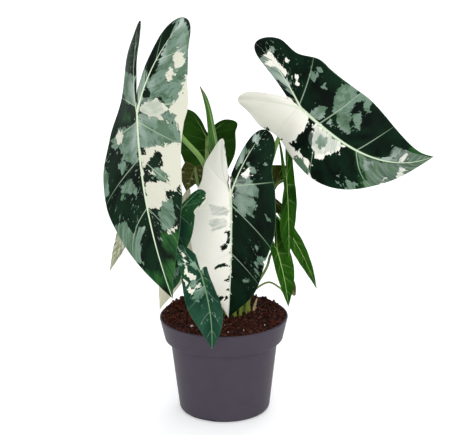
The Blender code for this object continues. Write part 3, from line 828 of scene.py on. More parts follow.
def vein_station(sweep, y, t):
    """The station where the side vein through each point leaves its rib.

    t is the share of the way from rib to margin.  The line is y = u + sweep(u) t, and u is found
    by halving an interval twenty times, for all points together."""
    low, high = np.full(y.shape, -.8), np.full(y.shape, 1.05)
    for _ in range(HALVINGS):
        middle = (low + high) / 2
        beyond = middle + np.interp(middle, *zip(*sweep)) * t > y
        high = np.where(beyond, middle, high)
        low = np.where(beyond, low, middle)
    return (low + high) / 2


def vein_number(form, u):
    """Whole numbers at the leaf's side veins, rising evenly between them, and the pitch in mm.

    Before the first vein and after the last the number stops half-way, where no vein is drawn."""
    stations = np.array((*LOBE_ENDS, *form["laterals"], *TIP_ENDS))
    number = np.interp(u, stations, np.arange(len(stations)))
    pitch = form["length"] * np.interp(u, stations, np.gradient(stations))
    first, last = len(LOBE_ENDS), len(stations) - len(TIP_ENDS) - 1
    return np.clip(number, first - .5, last + .5), pitch


print("a vein that starts at .22 meets the margin at", round(.22 + np.interp(.22, *zip(*SWEEP)), 2))

# %% The markings of each leaf
# Outlines on the blank, one to a line: a kind, then its corners in hundredths, along the leaf
# (0 stem, 100 tip) and across it (-100 the left margin, 100 the right).  A later outline lies over
# an earlier one.  "dark" is bare leaf.
MARKINGS = {
    "front_left": """
    sage -60,60 -50,92 -32,108 -20,97 -14,84 -6,66 -12,50 -7,28 -3,8 -12,12 -22,22 -40,42
    dark -50,38 -54,60 -40,50 -30,42 -27,40 -19,26 -24,10 -36,14
    dark -16,16 -14,26 -9,30 -3,8 -4,4
    sage -25,10 -22,20 -10,12 -2,4 -14,4
    sage -52,70 -49,100 -36,92 -36,76
    cream -40,76 -38,93 -31,90 -30,76 -35,68
    cream -29,66 -27,80 -21,64 -25,58
    cream -27,98 -22,125 40,125 42,100 36,95 45,62 50,36 50,3 36,3 34,70 27,72 16,60 12,98 2,82 -6,66 -14,82
    cream -10,45 -6,66 2,82 1,40 -2,8 -5,10
    sage 0,4 0,40 1,60 1,84 9,98 14,100 16,80 17,50 21,12 22,3
    cream 19,4 15,50 12,98 30,90 33,80 30,40 34,4
    sage -6,68 -3,82 2,80 0,60 -2,50
    dark 17,4 18,18 22,16 22,4
    dark 18,44 18,58 26,58 29,40 31,24 38,4 29,4 27,16 23,30 20,40
    sage 27,44 31,78 34,60 33,30 29,30
    sage 46,52 44,74 55,86 63,66 61,44 54,34
    dark 40,62 38,82 43,80 44,62
    dark 40,93 41,106 46,106 45,90
    cream 61,60 59,92 61,92 65,62
    sage 66,18 66,46 68,40 67,20
    green 64,36 62,110 76,110 74,60 70,36
    green 80,4 78,110 104,110 104,-40 88,-14
    mist -50,78 -47,94 -40,92 -39,76
    mist -9,8 -10,50 0,66 3,40 1,4
    flecks -42,-110 -42,-4 -18,-4 -18,-110
    sage -16,-100 -18,-14 -4,-16 -2,-62 -6,-100
    green 2,-28 1,-62 6,-60 6,-30
    sage 5,-8 10,-44 11,-78 22,-86 21,-60 26,-44 27,-20 25,-2 3,-2
    cream 14,-52 13,-70 16,-78 20,-70 18,-54
    sage 29,-62 27,-40 31,-34 34,-50
    sage 36,-30 37,-18 43,-19 43,-48 46,-56 40,-54
    sage 32,-100 34,-86 45,-88 44,-104
    sage 58,-105 57,-62 63,-54 59,-24 61,-18 68,-42 72,-60 78,-78 77,-105
    flecks 24,-4 26,-100 58,-100 54,-4
    flecks 48,4 48,100 66,100 66,4
    green 80,-105 84,-60 86,0 92,0 92,-105
    """,
    "upper_right": """
    cream -56,-110 -56,0 -4,0 9,-2 11,-20 9,-40 10,-60 6,-78 0,-88 -3,-110
    dark -20,-110 -19,-92 -14,-92 -14,-110
    dark 2,-90 9,-74 10,-42 10,-12 15,-14 17,-30 21,-50 26,-60 25,-72 14,-74 10,-84
    cream -3,-110 0,-92 10,-84 16,-76 25,-74 28,-86 36,-110
    sage 14,-96 18,-84 27,-88 32,-104 20,-110
    cream 15,-4 16,-14 22,-46 27,-60 33,-48 37,-20 40,-3
    sage 20,-12 22,-34 27,-44 29,-28 27,-10
    dark 30,-56 36,-40 39,-20 41,-3 46,-3 51,-26 58,-60 60,-84 56,-105 40,-105 34,-88
    sage 50,-78 52,-72 58,-84 58,-100 54,-100
    green 47,0 52,-26 60,-74 62,-110 104,-110 104,0
    sage 56,-14 58,-44 61,-40 60,-14
    cream 70,-78 71,-105 73,-105 72,-78
    cream 79,-30 78,-105 82,-105 82,-50
    flecks 62,-10 64,-100 92,-100 92,-10
    mist 50,-4 56,-30 62,-70 64,-105 100,-105 100,-4
    mist 14,-34 16,-6 38,-4 36,-26 28,-52 22,-48
    flecks 46,-60 50,-105 60,-105 58,-60
    sage 8,4 8,32 14,34 16,4
    sage 21,12 20,22 23,20 23,12
    sage 16,48 13,70 14,92 26,106 28,84 30,62 34,40 36,22 31,18 24,28 18,36
    sage 31,56 27,84 26,106 38,104 41,82 36,72 42,40 39,38 34,48
    dark 29,58 28,80 33,88 37,74 34,60
    sage -8,62 -7,76 -2,74 -3,60
    sage 2,58 3,70 5,66 4,58
    sage -7,82 -5,88 -2,84 -3,80
    sage -44,36 -41,56 -30,56 -14,22 -10,12 -26,14 -36,26
    cream -40,32 -36,50 -30,46 -33,34
    cream -42,50 -40,62 -20,46 -22,40
    dark -26,12 -24,20 -16,16 -16,10
    sage -42,62 -40,76 -36,74 -38,60
    cream -28,68 -27,76 -25,74 -26,66
    cream -16,44 -15,50 -13,48 -14,42
    cream -14,32 -13,38 -11,34 -12,30
    sage 58,0 62,6 70,14 76,12 78,0
    sage 71,16 71,50 75,56 76,30 74,14
    cream 77,2 79,40 81,62 82,40 80,2
    green 82,0 84,110 104,110 104,0
    mist 60,0 68,12 72,50 96,70 98,0
    flecks -48,20 -48,80 -8,84 -12,16
    """,
    "centre": """
    cream -60,-115 -60,0 104,0 104,-115
    mist 12,-54 12,-10 17,-8 19,-52
    mist 23,-54 19,-12 27,-8 31,-46
    dark -36,-62 -30,-44 -24,-30 -30,-30 -38,-50
    dark -12,-12 -2,-3 -2,-6 -8,-12
    dark 29,-4 33,-4 34,-7 31,-8
    dark 29,-2 33,-9 38,-13 40,-24 45,-23 43,-10 37,-4 33,-1
    dark 57,-4 58,-20 61,-46 59,-46 56,-22 56,-4
    dark 64,-3 65,-10 66,-3
    dark 67,-3 69,-20 70,-3
    dark 75,-3 76,-16 77,-3
    dark 80,-12 84,-90 88,-100 86,-60 85,-40 83,-14
    sage -12,8 -8,30 -14,44 -8,64 0,64 -1,42 -3,14
    cream -16,24 -12,38 -20,48 -22,44
    sage -26,40 -22,60 -18,60 -20,42
    sage -40,26 -34,36 -24,24 -20,12 -28,14
    sage -50,40 -47,56 -42,52 -44,38
    sage 0,12 1,50 3,56 16,54 13,30 8,6 2,6
    sage 9,4 13,34 16,32 13,8
    sage -30,80 -29,88 -27,86 -28,80
    sage 36,62 36,76 40,70 39,60
    sage 45,74 44,104 50,104 52,80 49,70
    cream 48,96 47,106 52,106
    sage 54,76 57,92 60,90 57,76
    sage 64,46 64,66 66,64 66,46
    sage 14,82 15,90 17,88 16,80
    flecks -50,12 -50,84 -30,90 -6,66 -8,10
    flecks 34,50 36,104 64,104 70,60 62,44
    mist -16,20 -16,46 -8,52 6,46 12,30 6,4 -4,6
    """,
    "front_low": """
    green -30,-105 -30,-72 -4,-66 4,-80 0,-105
    cream -34,-66 -30,-56 -16,-56 -6,-62 -4,-52 2,-30 6,-40 4,-58 -6,-74 -22,-70
    cream -2,-98 2,-84 8,-64 14,-60 18,-64 16,-46 12,-20 14,-16 16,-40 20,-66 12,-72 4,-90
    sage 2,-58 4,-36 12,-34 16,-50 10,-60
    sage 18,-62 20,-34 18,-4 24,-6 30,-30 34,-44 28,-60
    sage -20,-36 -18,-20 -8,-6 -6,-16 -14,-36
    sage -6,4 -6,30 -1,40 2,20
    green 0,4 0,60 10,50 20,20 22,4
    flecks -40,-105 -40,-4 30,-4 30,-105
    flecks 4,4 4,90 60,90 60,-60 40,-60 40,4
    """,
    "left_inner": """
    green -40,-5 -40,110 8,110 6,-5
    flecks -40,10 -40,110 12,110 10,10
    cream -26,92 -24,115 2,115 0,94
    dark 8,10 8,70 44,70 44,10
    green 6,74 6,110 60,110 50,74
    sage 66,10 62,70 72,70 76,20
    """,
    "back_low": """
    cream 55,-110 45,110 104,110 104,-110
    """,
}


def depth_inside(outline, place):
    """How far in mm each place (mm) lies inside a closed outline, and below 0 outside it.

    The distance is to the nearest side.  A place is inside if a level line from it crosses an
    odd number of sides."""
    side = np.roll(outline, -1, 0) - outline
    away = place[:, None] - outline
    reach = np.clip((away * side).sum(-1) / (side ** 2).sum(-1), 0, 1)
    gap = np.linalg.norm(away - reach[..., None] * side, axis=-1).min(-1)
    high = away[..., 1]
    spans = (high < 0) != (high < side[:, 1])
    crossing = side[:, 0] * high / np.where(side[:, 1] == 0, 1, side[:, 1])
    inside = (spans & (away[..., 0] < crossing)).sum(-1) % 2 == 1
    return np.where(inside, gap, -gap)


KINDS = ("cream", "sage", "green")
FLECK_DEPTH = -2.2            # mm: near enough to sage for the highest peaks of the noise only


def markings(name, form, y, across):
    """Depth in mm inside cream, sage and green, as three columns, and inside mist.

    Outlines are laid down in order: each raises its own kind, and lowers the others under it.
    Flecks raise sage only to just short of showing.  Mist lies over everything."""
    scale = np.array((form["width"], 1)) * form["length"]
    place = np.stack((across, y), -1) * scale
    depths = np.tile(np.array(form["scattered"], float), (len(y), 1))
    mist = np.full(len(y), -20.0)
    for text in MARKINGS.get(name, "").strip().splitlines():
        kind, *corners = text.split()
        corners = np.array([corner.split(",") for corner in corners], float)[:, ::-1] / 100 * scale
        inside = depth_inside(corners, place)
        if kind == "mist":
            mist = np.maximum(mist, inside)
        elif kind == "flecks":
            depths[:, 1] = np.maximum(depths[:, 1], np.minimum(inside, FLECK_DEPTH))
        else:
            for k, other in enumerate(KINDS):
                depths[:, k] = np.maximum(depths[:, k], inside) if kind == other else \
                    np.minimum(depths[:, k], -inside)
    return np.clip(depths, -20, 20), mist


print("outlines drawn:", sum(len(m.strip().splitlines()) for m in MARKINGS.values()))

# %% [markdown]
# ## The blades
#
# Each half is two grids.  One runs from the midrib, or from the lobe's rib, out to the margin.  The
# other runs from the lobe's rib in to the sinus.  Rows follow the rib and crowd towards the tips,
# and columns crowd towards the rib, where the form changes fastest.  Over the bent blank comes a
# relief of less than a millimetre: raised ribs, sunk side veins, the blade pillowed between them,
# and a slight ripple at the margin.  The underside is the same surface, let down by the thickness,
# which is greatest under the ribs.  The two are joined round the margin into a closed skin.

# %% What each point knows, and the relief
RIB_HALF_WIDTH = 1.7          # mm, on the largest leaf where the stem joins
LAMINA = .00045               # m, the blade away from its ribs
FULL_SIZE = 170               # mm: reliefs are given for a leaf of this length


def hash_of(name):
    """A small number from a name, the same on every run."""
    return sum((i + 1) * ord(c) for i, c in enumerate(name)) % 97


def blade_fields(form, seed, side, y, x_share, edge, rib, t):
    """Everything the shape and the material need to know at each point of one grid.

    veins: vein number, pitch, distance to the rib.  spot: station, share of the way to the margin,
    the rib's half width.  flat: the place on the blank, straightened along the side veins."""
    length = form["length"]
    half_width = form["width"] * length
    u = vein_station(form[HAND[side] + "_sweep"], y, t)
    number, pitch = vein_number(form, u)
    rib_gap = np.abs(x_share - rib) * half_width
    lobe = form["lobes"][side < 0]
    taper = np.where(y < 0, 1 - np.clip(-y / lobe / .9, 0, 1), 1 - .8 * np.maximum(y, 0))
    rib_width = RIB_HALF_WIDTH * (length / FULL_SIZE) ** .6 * np.where(
        y < 0, .62 + .38 * np.exp(y * 25), 1) * np.maximum(taper, .04)
    across = side * x_share / np.maximum(edge, .02)
    return dict(
        veins=np.stack((number, pitch, rib_gap), -1),
        spot=np.stack((y, t, rib_width), -1),
        flat=np.stack((side * x_share * half_width, u * length, np.full(y.shape, seed)), -1),
        across=across)


def blade_relief(form, fields, seed):
    """Height of the top face over the bent blank, and the blade's thickness, in metres.

    Ribs and veins are bell curves of the distance to them; pillows are their complement."""
    number, pitch, rib_gap = np.moveaxis(fields["veins"], -1, 0)
    y, t, rib_width = np.moveaxis(fields["spot"], -1, 0)
    size = form["length"] / FULL_SIZE
    vein_gap = np.abs(number - np.round(number)) * pitch
    near_rib = np.exp(-(rib_gap / rib_width) ** 2)
    near_vein = np.exp(-(vein_gap / (.9 * size + .2)) ** 2)
    open_blade = np.clip(t * 3, 0, 1) * np.clip((1 - t) * 2.5, 0, 1)
    pillow = (1 - np.exp(-(vein_gap / (7 * size)) ** 2)) * open_blade
    ripple = t ** 3 * np.sin(y * 23 + seed) * np.sin(y * 9 + 2 * seed) * np.clip((1 - y) * 4, 0, 1)
    minor = np.abs(number * 3 - np.round(number * 3)) * pitch / 3
    fine = np.exp(-(minor / (1.1 * size)) ** 2) * open_blade
    # Where a grid's row shrinks to a point on the rib, nothing may depend on t.
    away = np.clip(rib_gap / 3, 0, 1)
    off_rib = 1 - near_rib
    rise = .25 * near_rib * (.3 + .7 * away) + away * (
        .75 * size * pillow + .5 * size * ripple - .07 * fine
        - .22 * near_vein * off_rib * (1 - t * .6))
    thick = LAMINA / MM * (1 - .4 * away * t ** 8) + .4 * size * near_vein * off_rib * (1 - t) \
        + 1.5 * near_rib * (rib_width / RIB_HALF_WIDTH)
    return rise * MM, thick * MM


print("blade thickness (mm):", round(LAMINA / MM, 2), " rib half width (mm):", RIB_HALF_WIDTH)

# %% One blade from its grids
# Rows ahead of the stem, down a lobe and over the joined part; columns to the margin and the sinus.
FINE_GRID = (190, 70, 16, 52, 22)
SMALL_GRID = (90, 34, 8, 28, 12)


def make_blade(name, form):
    """Build a blade from its record: four grids, each with a top, an underside and a margin strip.

    A row's station is 1 - (1 - share) ** power, so rows crowd towards the tips, and a column's is
    share ** power, so columns crowd towards the rib."""
    seed = hash_of(name)
    joined = form["web"] * min(form["lobes"])
    even = [np.linspace(0, 1, n) for n in (FINE_GRID if form["length"] > 100 else SMALL_GRID)]
    ahead = 1 - (1 - even[0]) ** 1.3
    lobe_share = 1 - (1 - even[1]) ** 1.7
    web = np.linspace(-joined, 0, len(even[2]))
    column, inner_column = even[3] ** 1.2, even[4] ** 1.2
    points, quads, under, start = [], [], [], 0
    kept_fields = {"veins": [], "spot": [], "flat": [], "across": []}
    for side in (1, -1):
        lobe = form["lobes"][side < 0]
        behind = -(joined + (lobe - joined) * lobe_share)[::-1]
        lobe_rows = np.concatenate((behind[:-1], web))
        rows = np.concatenate((lobe_rows[:-1], ahead))
        for outward, stations, shares in ((True, rows, column), (False, lobe_rows, inner_column)):
            y, t = np.meshgrid(stations, shares, indexing="ij")
            edge, rib, outer, inner = margins(form, side, y)
            x_share = rib + t * ((outer if outward else inner) - rib)
            fields = blade_fields(form, seed, side, y, x_share, edge, rib, t)
            rise, thick = blade_relief(form, fields, seed)
            x = x_share * form["width"] * form["length"] * MM
            top = bend_half(form, side, y, x, rise)
            bottom = bend_half(form, side, y, x, rise - thick)
            if not outward:
                # Below the stem the halves meet on one line: the second takes the first's points.
                joint = stations >= -joined
                if side > 0:
                    seam = top[joint, -1], bottom[joint, -1]
                else:
                    top[joint, -1], bottom[joint, -1] = seam
            count = y.size
            turned_over = (side > 0) != outward
            quads.append(grid_faces(*y.shape, start, turned_over))
            quads.append(grid_faces(*y.shape, start + count, not turned_over))
            under += [np.zeros(len(quads[-2])), np.ones(len(quads[-1]))]
            # The strip that closes the margin, or below the joined part, the sinus.
            edge_rows = np.arange(len(stations)) if outward else np.flatnonzero(stations <= -joined)
            last = start + edge_rows * len(shares) + len(shares) - 1
            strip = np.stack((last[:-1], last[1:], last[1:] + count, last[:-1] + count), 1)
            quads.append(strip[:, ::-1] if turned_over else strip)
            under.append(np.zeros(len(strip)))
            points += [top.reshape(-1, 3), bottom.reshape(-1, 3)]
            for key, values in kept_fields.items():
                values += [fields[key].reshape(count, -1)] * 2
            start += 2 * count
    points, quads, under = np.concatenate(points), np.concatenate(quads), np.concatenate(under)
    fields = {key: np.concatenate(values) for key, values in kept_fields.items()}
    kept, faces, source = weld(points, quads)
    fields = {key: values[kept] for key, values in fields.items()}
    across = fields.pop("across")[:, 0]
    fields["paint"], mist = markings(name, form, fields["spot"][:, 0], across)
    # The second number is the leaf's share of darker ivory cream: partly real ivory, partly painted shade.
    fields["veil"] = np.stack((mist, np.full(len(mist), form["age"]), 0 * mist), -1)
    top_skin, under_skin = SKINS[form["skin"]]
    return make_piece("leaf_" + name, points[kept], faces, [top_skin, under_skin], fields, under[source])


print("rows and columns of a large blade:", FINE_GRID)

# %% [markdown]
# ## Leaf finishes
#
# The top of this alocasia's blade is almost black-green and velvety: its cells are domed, so light
# sinks in and there is no hard highlight.  Sage patches have a thin grey layer over green.  Cream
# patches have no chlorophyll at all, and a little light passes through them.  Ribs are pale green
# and paler at the stem, side veins thinner and greener.  The underside is duller and greyer.  One
# recipe serves every leaf, with a few tones changed.

# %% Tissues and where they show
TISSUES = ("deep", "leafy", "green", "green_deep", "sage", "sage_pale", "silver", "mist", "cream",
           "cream_ivory_shaded", "vein", "vein_pale", "rib", "back")
TONES = {   # a colour for each tissue in that order, then how plainly veins show, and the sheen
    "variegated": ("050E09 0B2314 2E5A2B 123A1B 566F5A 6B8272 A3B1A8 8C9B90 "
                   "F7F4EA CBCABA 6B8E66 B9C7B2 CFDDBE 4F6B56", .8, .05),
    "blue_green": ("163628 264A39 2B5633 193F24 5F7F6C 7E9A89 A5B7A9 8FA597 "
                   "E6E5D8 D6D9C2 3F6A48 A9C0A6 6F9A69 3F6148", .35, .02),
    "green": ("112C09 224910 36641A 1E4610 6C8A48 8DA469 A5B587 8FA070 "
              "DEDCC2 D3D4AA 4E7A34 B3C48A 8DAE5E 2E4E1C", .2, 0),
    "faded": ("2C4016 3A501E 516A2C 38501C 82876C 9A9D84 ADB09A A3A692 "
              "CDC9B6 BDBAA0 7A8A54 A3AB82 A3AF7A 85876E", .4, 0),
    "olive": ("333A18 454A22 5C6230 474C24 77794E 8C8C64 A6A582 8F9068 "
              "D8D2B2 C9C298 6F7644 A9A97C 8E8E5A 565634", .4, 0),
}


def tissues(node, tone, flat, rib_gap, vein_gap, paint, veil):
    """Tissue colours laid one over another, and how fully cream and sage show at each point.

    A tissue shows where its depth in mm, plus noise, is above 0."""
    cream_mm, sage_mm, green_mm = node("SeparateXYZ", paint).outputs[:]
    mist_mm, age = node("SeparateXYZ", veil).outputs[:2]

    # Noises on the blank in mm, drawn out across the leaf, the way the side veins run.
    streaky = node("Mapping", flat, Scale=(.6, 1, 1))
    drawn_out = node("Mapping", flat, Scale=(.2, 1, 1))
    moved = node("Mapping", streaky, Location=(31, 17, 5))
    ragged = node("TexNoise", streaky, .22, 4, .55)
    island = node("TexNoise", streaky, .5, 2)
    holes = node("TexNoise", moved, .5, 2)
    broad = node("TexNoise", flat, .05, 3)
    layers = node("TexNoise", moved, .11, 4, .6)
    streaks = node("TexNoise", drawn_out, .4, 4)

    # Edges wander by a few mm.  Past them, the highest peaks of a finer noise make flecks, and
    # those of a second one make holes.
    peaks = node("MapRange", island, .6, .75, 0, 4.5)
    pits = node("MapRange", holes, .62, .77, 0, 4.5)
    loose = node("Math", peaks, pits, operation="SUBTRACT")
    jag = node("Math", ragged, 11, -5.5, operation="MULTIPLY_ADD")
    cream_edge = node("Math", cream_mm, jag, operation="ADD")
    cream_edge = node("Math", cream_edge, loose, operation="ADD")
    sage_edge = node("Math", sage_mm, jag, operation="SUBTRACT")
    sage_edge = node("Math", sage_edge, loose, operation="ADD")
    green_edge = node("Math", green_mm, jag, operation="ADD")
    mist_edge = node("Math", layers, 16, -8, operation="MULTIPLY_ADD")
    mist_edge = node("Math", mist_mm, mist_edge, operation="ADD")
    in_cream = node("MapRange", cream_edge, -.25, .25)
    in_sage = node("MapRange", sage_edge, -.25, .25)
    in_green = node("MapRange", green_edge, -3.5, 3.5)
    in_mist = node("MapRange", mist_edge, -.8, .8)

    # Bare leaf: darkest away from the veins, greener along them and in broad clouds.
    cloud = node("MapRange", broad, .38, .62)
    beside = node("MapRange", vein_gap, 3.2, .4, 0, .4)
    bare = node("Mix", cloud, tone["deep"], tone["leafy"])
    bare = node("Mix", beside, bare, tone["leafy"])
    mottled = node("MapRange", layers, .4, .6)
    green = node("Mix", mottled, tone["green_deep"], tone["green"])

    # Sage lies in thin layers, so it has two or three flat tones with crisp edges, and it is
    # silvery beside the ribs.  Cream turns from white to a darker ivory by a share set for each leaf:
    # partly the real ivory of older cream, partly painted shade on a leaf the light falls on fully.
    layer = node("MapRange", layers, .485, .515)
    second = node("MapRange", ragged, .56, .58, 0, .3)
    sage = node("Mix", layer, tone["sage"], tone["sage_pale"])
    sage = node("Mix", second, sage, tone["leafy"])
    by_rib = node("MapRange", rib_gap, 14, 2)
    silver = node("MapRange", broad, .42, .6)
    silver = node("Math", silver, by_rib, operation="MULTIPLY")
    sage = node("Mix", silver, sage, tone["silver"])
    # Painted shade: the ivory share darkens the cream as well as warming it, most on leaves the light falls
    # on fully.
    warm = node("Math", broad, .3, age, operation="MULTIPLY_ADD")
    cream = node("Mix", warm, tone["cream"], tone["cream_ivory_shaded"])

    # The tissues one over another, then a mist: a thin grey layer that lies in streaks.
    tissue = node("Mix", in_green, bare, green)
    tissue = node("Mix", in_sage, tissue, sage)
    tissue = node("Mix", in_cream, tissue, cream)
    thin = node("MapRange", streaks, .4, .6, .25, .6)
    thin = node("Math", thin, in_mist, operation="MULTIPLY")
    tissue = node("Mix", thin, tissue, tone["mist"])
    return tissue, in_cream, in_sage


print("tissue colours:", len(TISSUES), "for each of", len(TONES), "finishes")

# %% [markdown]
# ## Veins and velvet
#
# On the real blade each vein is a pale cord under a thin skin, so its edge is soft and its colour
# follows the tissue it runs through.  Drawing them on an image would blur close up.  The distance
# to the nearest vein is already on every point, so a threshold on it draws a line of any width.

# %% Veins, ribs and the grain of the skin
def with_veins(node, tone, tissue, in_cream, in_sage, veined, vein_gap, rib_gap, t, rib_width):
    """Side veins, ribs and the margin line, each laid over the tissue within its half width."""
    # Side veins: most of a millimetre wide at the rib and thinning out, greener on bare leaf and
    # paler on sage.  Cream hides them.  Numbers past the last side vein draw nothing.
    half_sage = node("Math", in_sage, .6, operation="MULTIPLY")
    pale = node("Math", in_cream, half_sage, operation="MAXIMUM")
    near = node("MapRange", t, .45, 1, .6, 0)
    pale = node("Math", pale, near, operation="MAXIMUM")
    vein_tone = node("Mix", pale, tone["vein"], tone["vein_pale"])
    reach = node("Math", t, -.45, .52, operation="MULTIPLY_ADD")
    past = node("Math", vein_gap, reach, operation="SUBTRACT")
    on_vein = node("MapRange", past, .3, -.15, 0, veined)
    shown = node("Math", in_cream, -.85, 1, operation="MULTIPLY_ADD")
    on_vein = node("Math", on_vein, shown, operation="MULTIPLY")
    lined = node("Mix", on_vein, tissue, vein_tone)

    # Ribs: pale, greener at their edges, and half hidden where they run through cream.
    rib_edge = node("Math", rib_gap, rib_width, operation="DIVIDE")
    on_rib = node("MapRange", rib_edge, 1.12, .85)
    rib_side = node("MapRange", rib_edge, .4, .95)
    rib_tone = node("Mix", rib_side, tone["rib"], vein_tone)
    in_sight = node("Math", in_cream, -.5, 1, operation="MULTIPLY_ADD")
    on_rib = node("Math", on_rib, in_sight, operation="MULTIPLY")
    lined = node("Mix", on_rib, lined, rib_tone)
    # A thin translucent line runs round the margin.
    rim_tone = node("Mix", in_cream, tone["vein"], tone["cream_ivory_shaded"])
    on_rim = node("MapRange", t, .98, .997, 0, .3)
    lined = node("Mix", on_rim, lined, rim_tone)
    return lined


def velvet(node, flat):
    """Relief of the skin: one part of domed cells to four of the creases between tiny veins."""
    # The velvet of domed cells is far finer than a screen shows, so it is drawn about 0.4 mm wide,
    # over a net of tiny veins about 3 mm across.
    cells = node("TexVoronoi", flat, 2.4)
    net = node("TexVoronoi", flat, .33, feature="DISTANCE_TO_EDGE")
    crease = node("MapRange", net.outputs["Distance"], 0, .12)
    height = node("Math", cells.outputs["Distance"], .25, crease, operation="MULTIPLY_ADD")
    return node("Bump", Height=height, Strength=.25, Distance=.0004)


def blade_finish(name, codes, veined, sheen, underside):
    """The blade's material, read from the fields on its mesh: tissues, then veins, then relief."""
    material, node, shader = finish_of(
        f"{name} alocasia {'underside' if underside else 'leaf'}",
        Roughness=.6 if underside else .5, Specular_IOR_Level=sheen, Subsurface_Weight=.06,
        Subsurface_Scale=.0015, Subsurface_Radius=(.6, 1, .3))
    tone = dict(zip(TISSUES, codes.split()))
    veins, spot, flat, paint, veil = (node("Attribute", attribute_name=key).outputs["Vector"]
                                      for key in ("veins", "spot", "flat", "paint", "veil"))
    number, pitch, rib_gap = node("SeparateXYZ", veins).outputs[:]
    t, rib_width = node("SeparateXYZ", spot).outputs[1:]
    vein_share = node("Math", number, .5, operation="PINGPONG")
    vein_gap = node("Math", vein_share, pitch, operation="MULTIPLY")
    laid = tissues(node, tone, flat, rib_gap, vein_gap, paint, veil)
    lined = with_veins(node, tone, *laid, veined, vein_gap, rib_gap, t, rib_width)
    if underside:
        lined = node("Mix", .4, lined, tone["back"])
    feed(shader, Base_Color=lined, Normal=velvet(node, flat))
    return material


SKINS = {name: [blade_finish(name, *looks, underside) for underside in (False, True)]
         for name, looks in TONES.items()}
print("leaf finishes:", len(SKINS), "with a top and an underside each")

# %% Make the fourteen blades
for name, form in LEAVES.items():
    blade = make_blade(name, form)
    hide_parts("blade_" + name)
    print(blade.name, len(blade.data.polygons), "triangles")

# %% [markdown]
# ## Stems and crown
#
# Each leaf stands on a fleshy petiole.  It is round, thickest at the foot where it clasps the next
# one, and it flows into the midrib under the blade.  A tube along a smooth path is the plain way to
# make it: a ring carried along the path, its radius a smooth function of the distance.  The crown
# is the short stock under them, ringed with the scars of old leaves.

# %% Tubes along a path
def carried(places, radii, rings, sides, shape):
    """A ring carried along a smooth path through places (m), closed to a pole at both ends.

    The ring's frame is turned from each step to the next by the least turn, so it never twists.
    `shape` scales the radius by share of the way and by angle."""
    places = np.asarray(places, float)
    chord = np.concatenate(((0,), np.cumsum(np.linalg.norm(np.diff(places, axis=0), axis=1))))
    at = np.linspace(0, chord[-1], rings)
    line = through(chord, places, at)
    ahead = np.gradient(line, axis=0)
    ahead /= np.linalg.norm(ahead, axis=1, keepdims=True)
    across = np.zeros_like(line)
    across[0] = np.cross(ahead[0], (0, 1, 0))
    for i in range(rings):
        kept_part = across[max(i - 1, 0)]
        kept_part = kept_part - ahead[i] * (kept_part @ ahead[i])
        across[i] = kept_part / np.linalg.norm(kept_part)
    third = np.cross(ahead, across)
    angle = np.linspace(0, 2 * math.pi, sides, endpoint=False)
    radius = through(chord, radii, at)[:, None] * np.ones(sides)
    radius = radius * shape(np.linspace(0, 1, rings)[:, None], angle[None])
    ring = line[:, None] + radius[..., None] * (across[:, None] * np.cos(angle)[:, None]
                                                + third[:, None] * np.sin(angle)[:, None])
    poles = [np.broadcast_to(line[k], ring[k].shape)[None] for k in (0, -1)]
    surface = np.concatenate((poles[0], ring, poles[1]))
    share = np.concatenate(((0,), at / chord[-1], (1,)))
    return surface, share, angle


def tube_piece(name, places, radii, material, rings, sides, extra, shape):
    """A tube as a piece.  Its `run` field holds share along, angle, and one extra number."""
    surface, share, angle = carried(places, radii, rings, sides, shape)
    run = np.stack(np.broadcast_arrays(share[:, None], angle[None], extra), -1).reshape(-1, 3)
    return skin(name, [(surface, True, True)], [material], {"run": run})


FLESHY = dict(Subsurface_Weight=.1, Subsurface_Scale=.002)

# A live petiole: smooth and waxy, with a fine lengthwise grain and faint blotches.
petiole, node, shader = finish_of("waxy petiole", Roughness=.38, Specular_IOR_Level=.35, **FLESHY)
run = node("Attribute", attribute_name="run").outputs["Vector"]
share, angle, brown = node("SeparateXYZ", run).outputs[:]
place = node("TexCoord").outputs["Object"]
drawn_out = node("Mapping", place, Scale=(1, 1, .12))
streak = node("TexNoise", drawn_out, 900, 3)
blotch = node("TexNoise", place, 160, 3)
foot = node("Mix", blotch, "5A7420", "8A9C3C")
head = node("Mix", streak, "5F8736", "86AA58")
rise = node("MapRange", share, .02, .4, interpolation_type="SMOOTHSTEP")
live = node("Mix", rise, foot, head)
aged = node("Mix", streak, "5C5530", "8A7E50")
tone = node("Mix", brown, live, aged)
relief = node("Bump", Height=streak, Strength=.15, Distance=.0003)
feed(shader, Base_Color=tone, Normal=relief)
print("petiole nodes:", len(petiole.node_tree.nodes))

# %% The fourteen stems
def clasping(share, angle):
    """A foot that swells and folds round its neighbour, then a faint groove all the way up."""
    foot = np.exp(-(share / .07) ** 2)
    return 1 + .28 * foot + .10 * foot * np.cos(2 * angle) - .05 * np.exp(-((angle - math.pi) / .5) ** 2)


for name, form in LEAVES.items():
    foot, top = form["stem_radius"]
    face = rib_frame(form)[:, 2]
    end = np.array(form["at"])
    falling = -min(0, form["right_fold"][0], form["left_fold"][0])
    joint = end - face * (BELOW_BLADE + top * math.tan(math.radians(falling)))
    reach = NECK_SHARE * form["length"]
    neck = joint - face * reach - np.array((0, 0, reach * .5))
    start = np.array((*form["base"], CROWN_TOP - INTO_CROWN))
    # It rises straight at first, and its last place is just inside the blade.
    upright = start + (0, 0, 15.5)
    places = [start, upright, *map(np.array, form["stem"]), neck, joint, end - face * .9]
    radii = np.interp(np.linspace(0, 1, len(places)), (0, .2, 1), (foot, foot * .85, top))
    radii[-1] *= .7
    stem = tube_piece("petiole_" + name, np.array(places) * MM, radii * MM, petiole, rings=120,
                      sides=20, extra=form["blush"], shape=clasping)
    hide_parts("stem_" + name)
print("stems:", len(LEAVES))

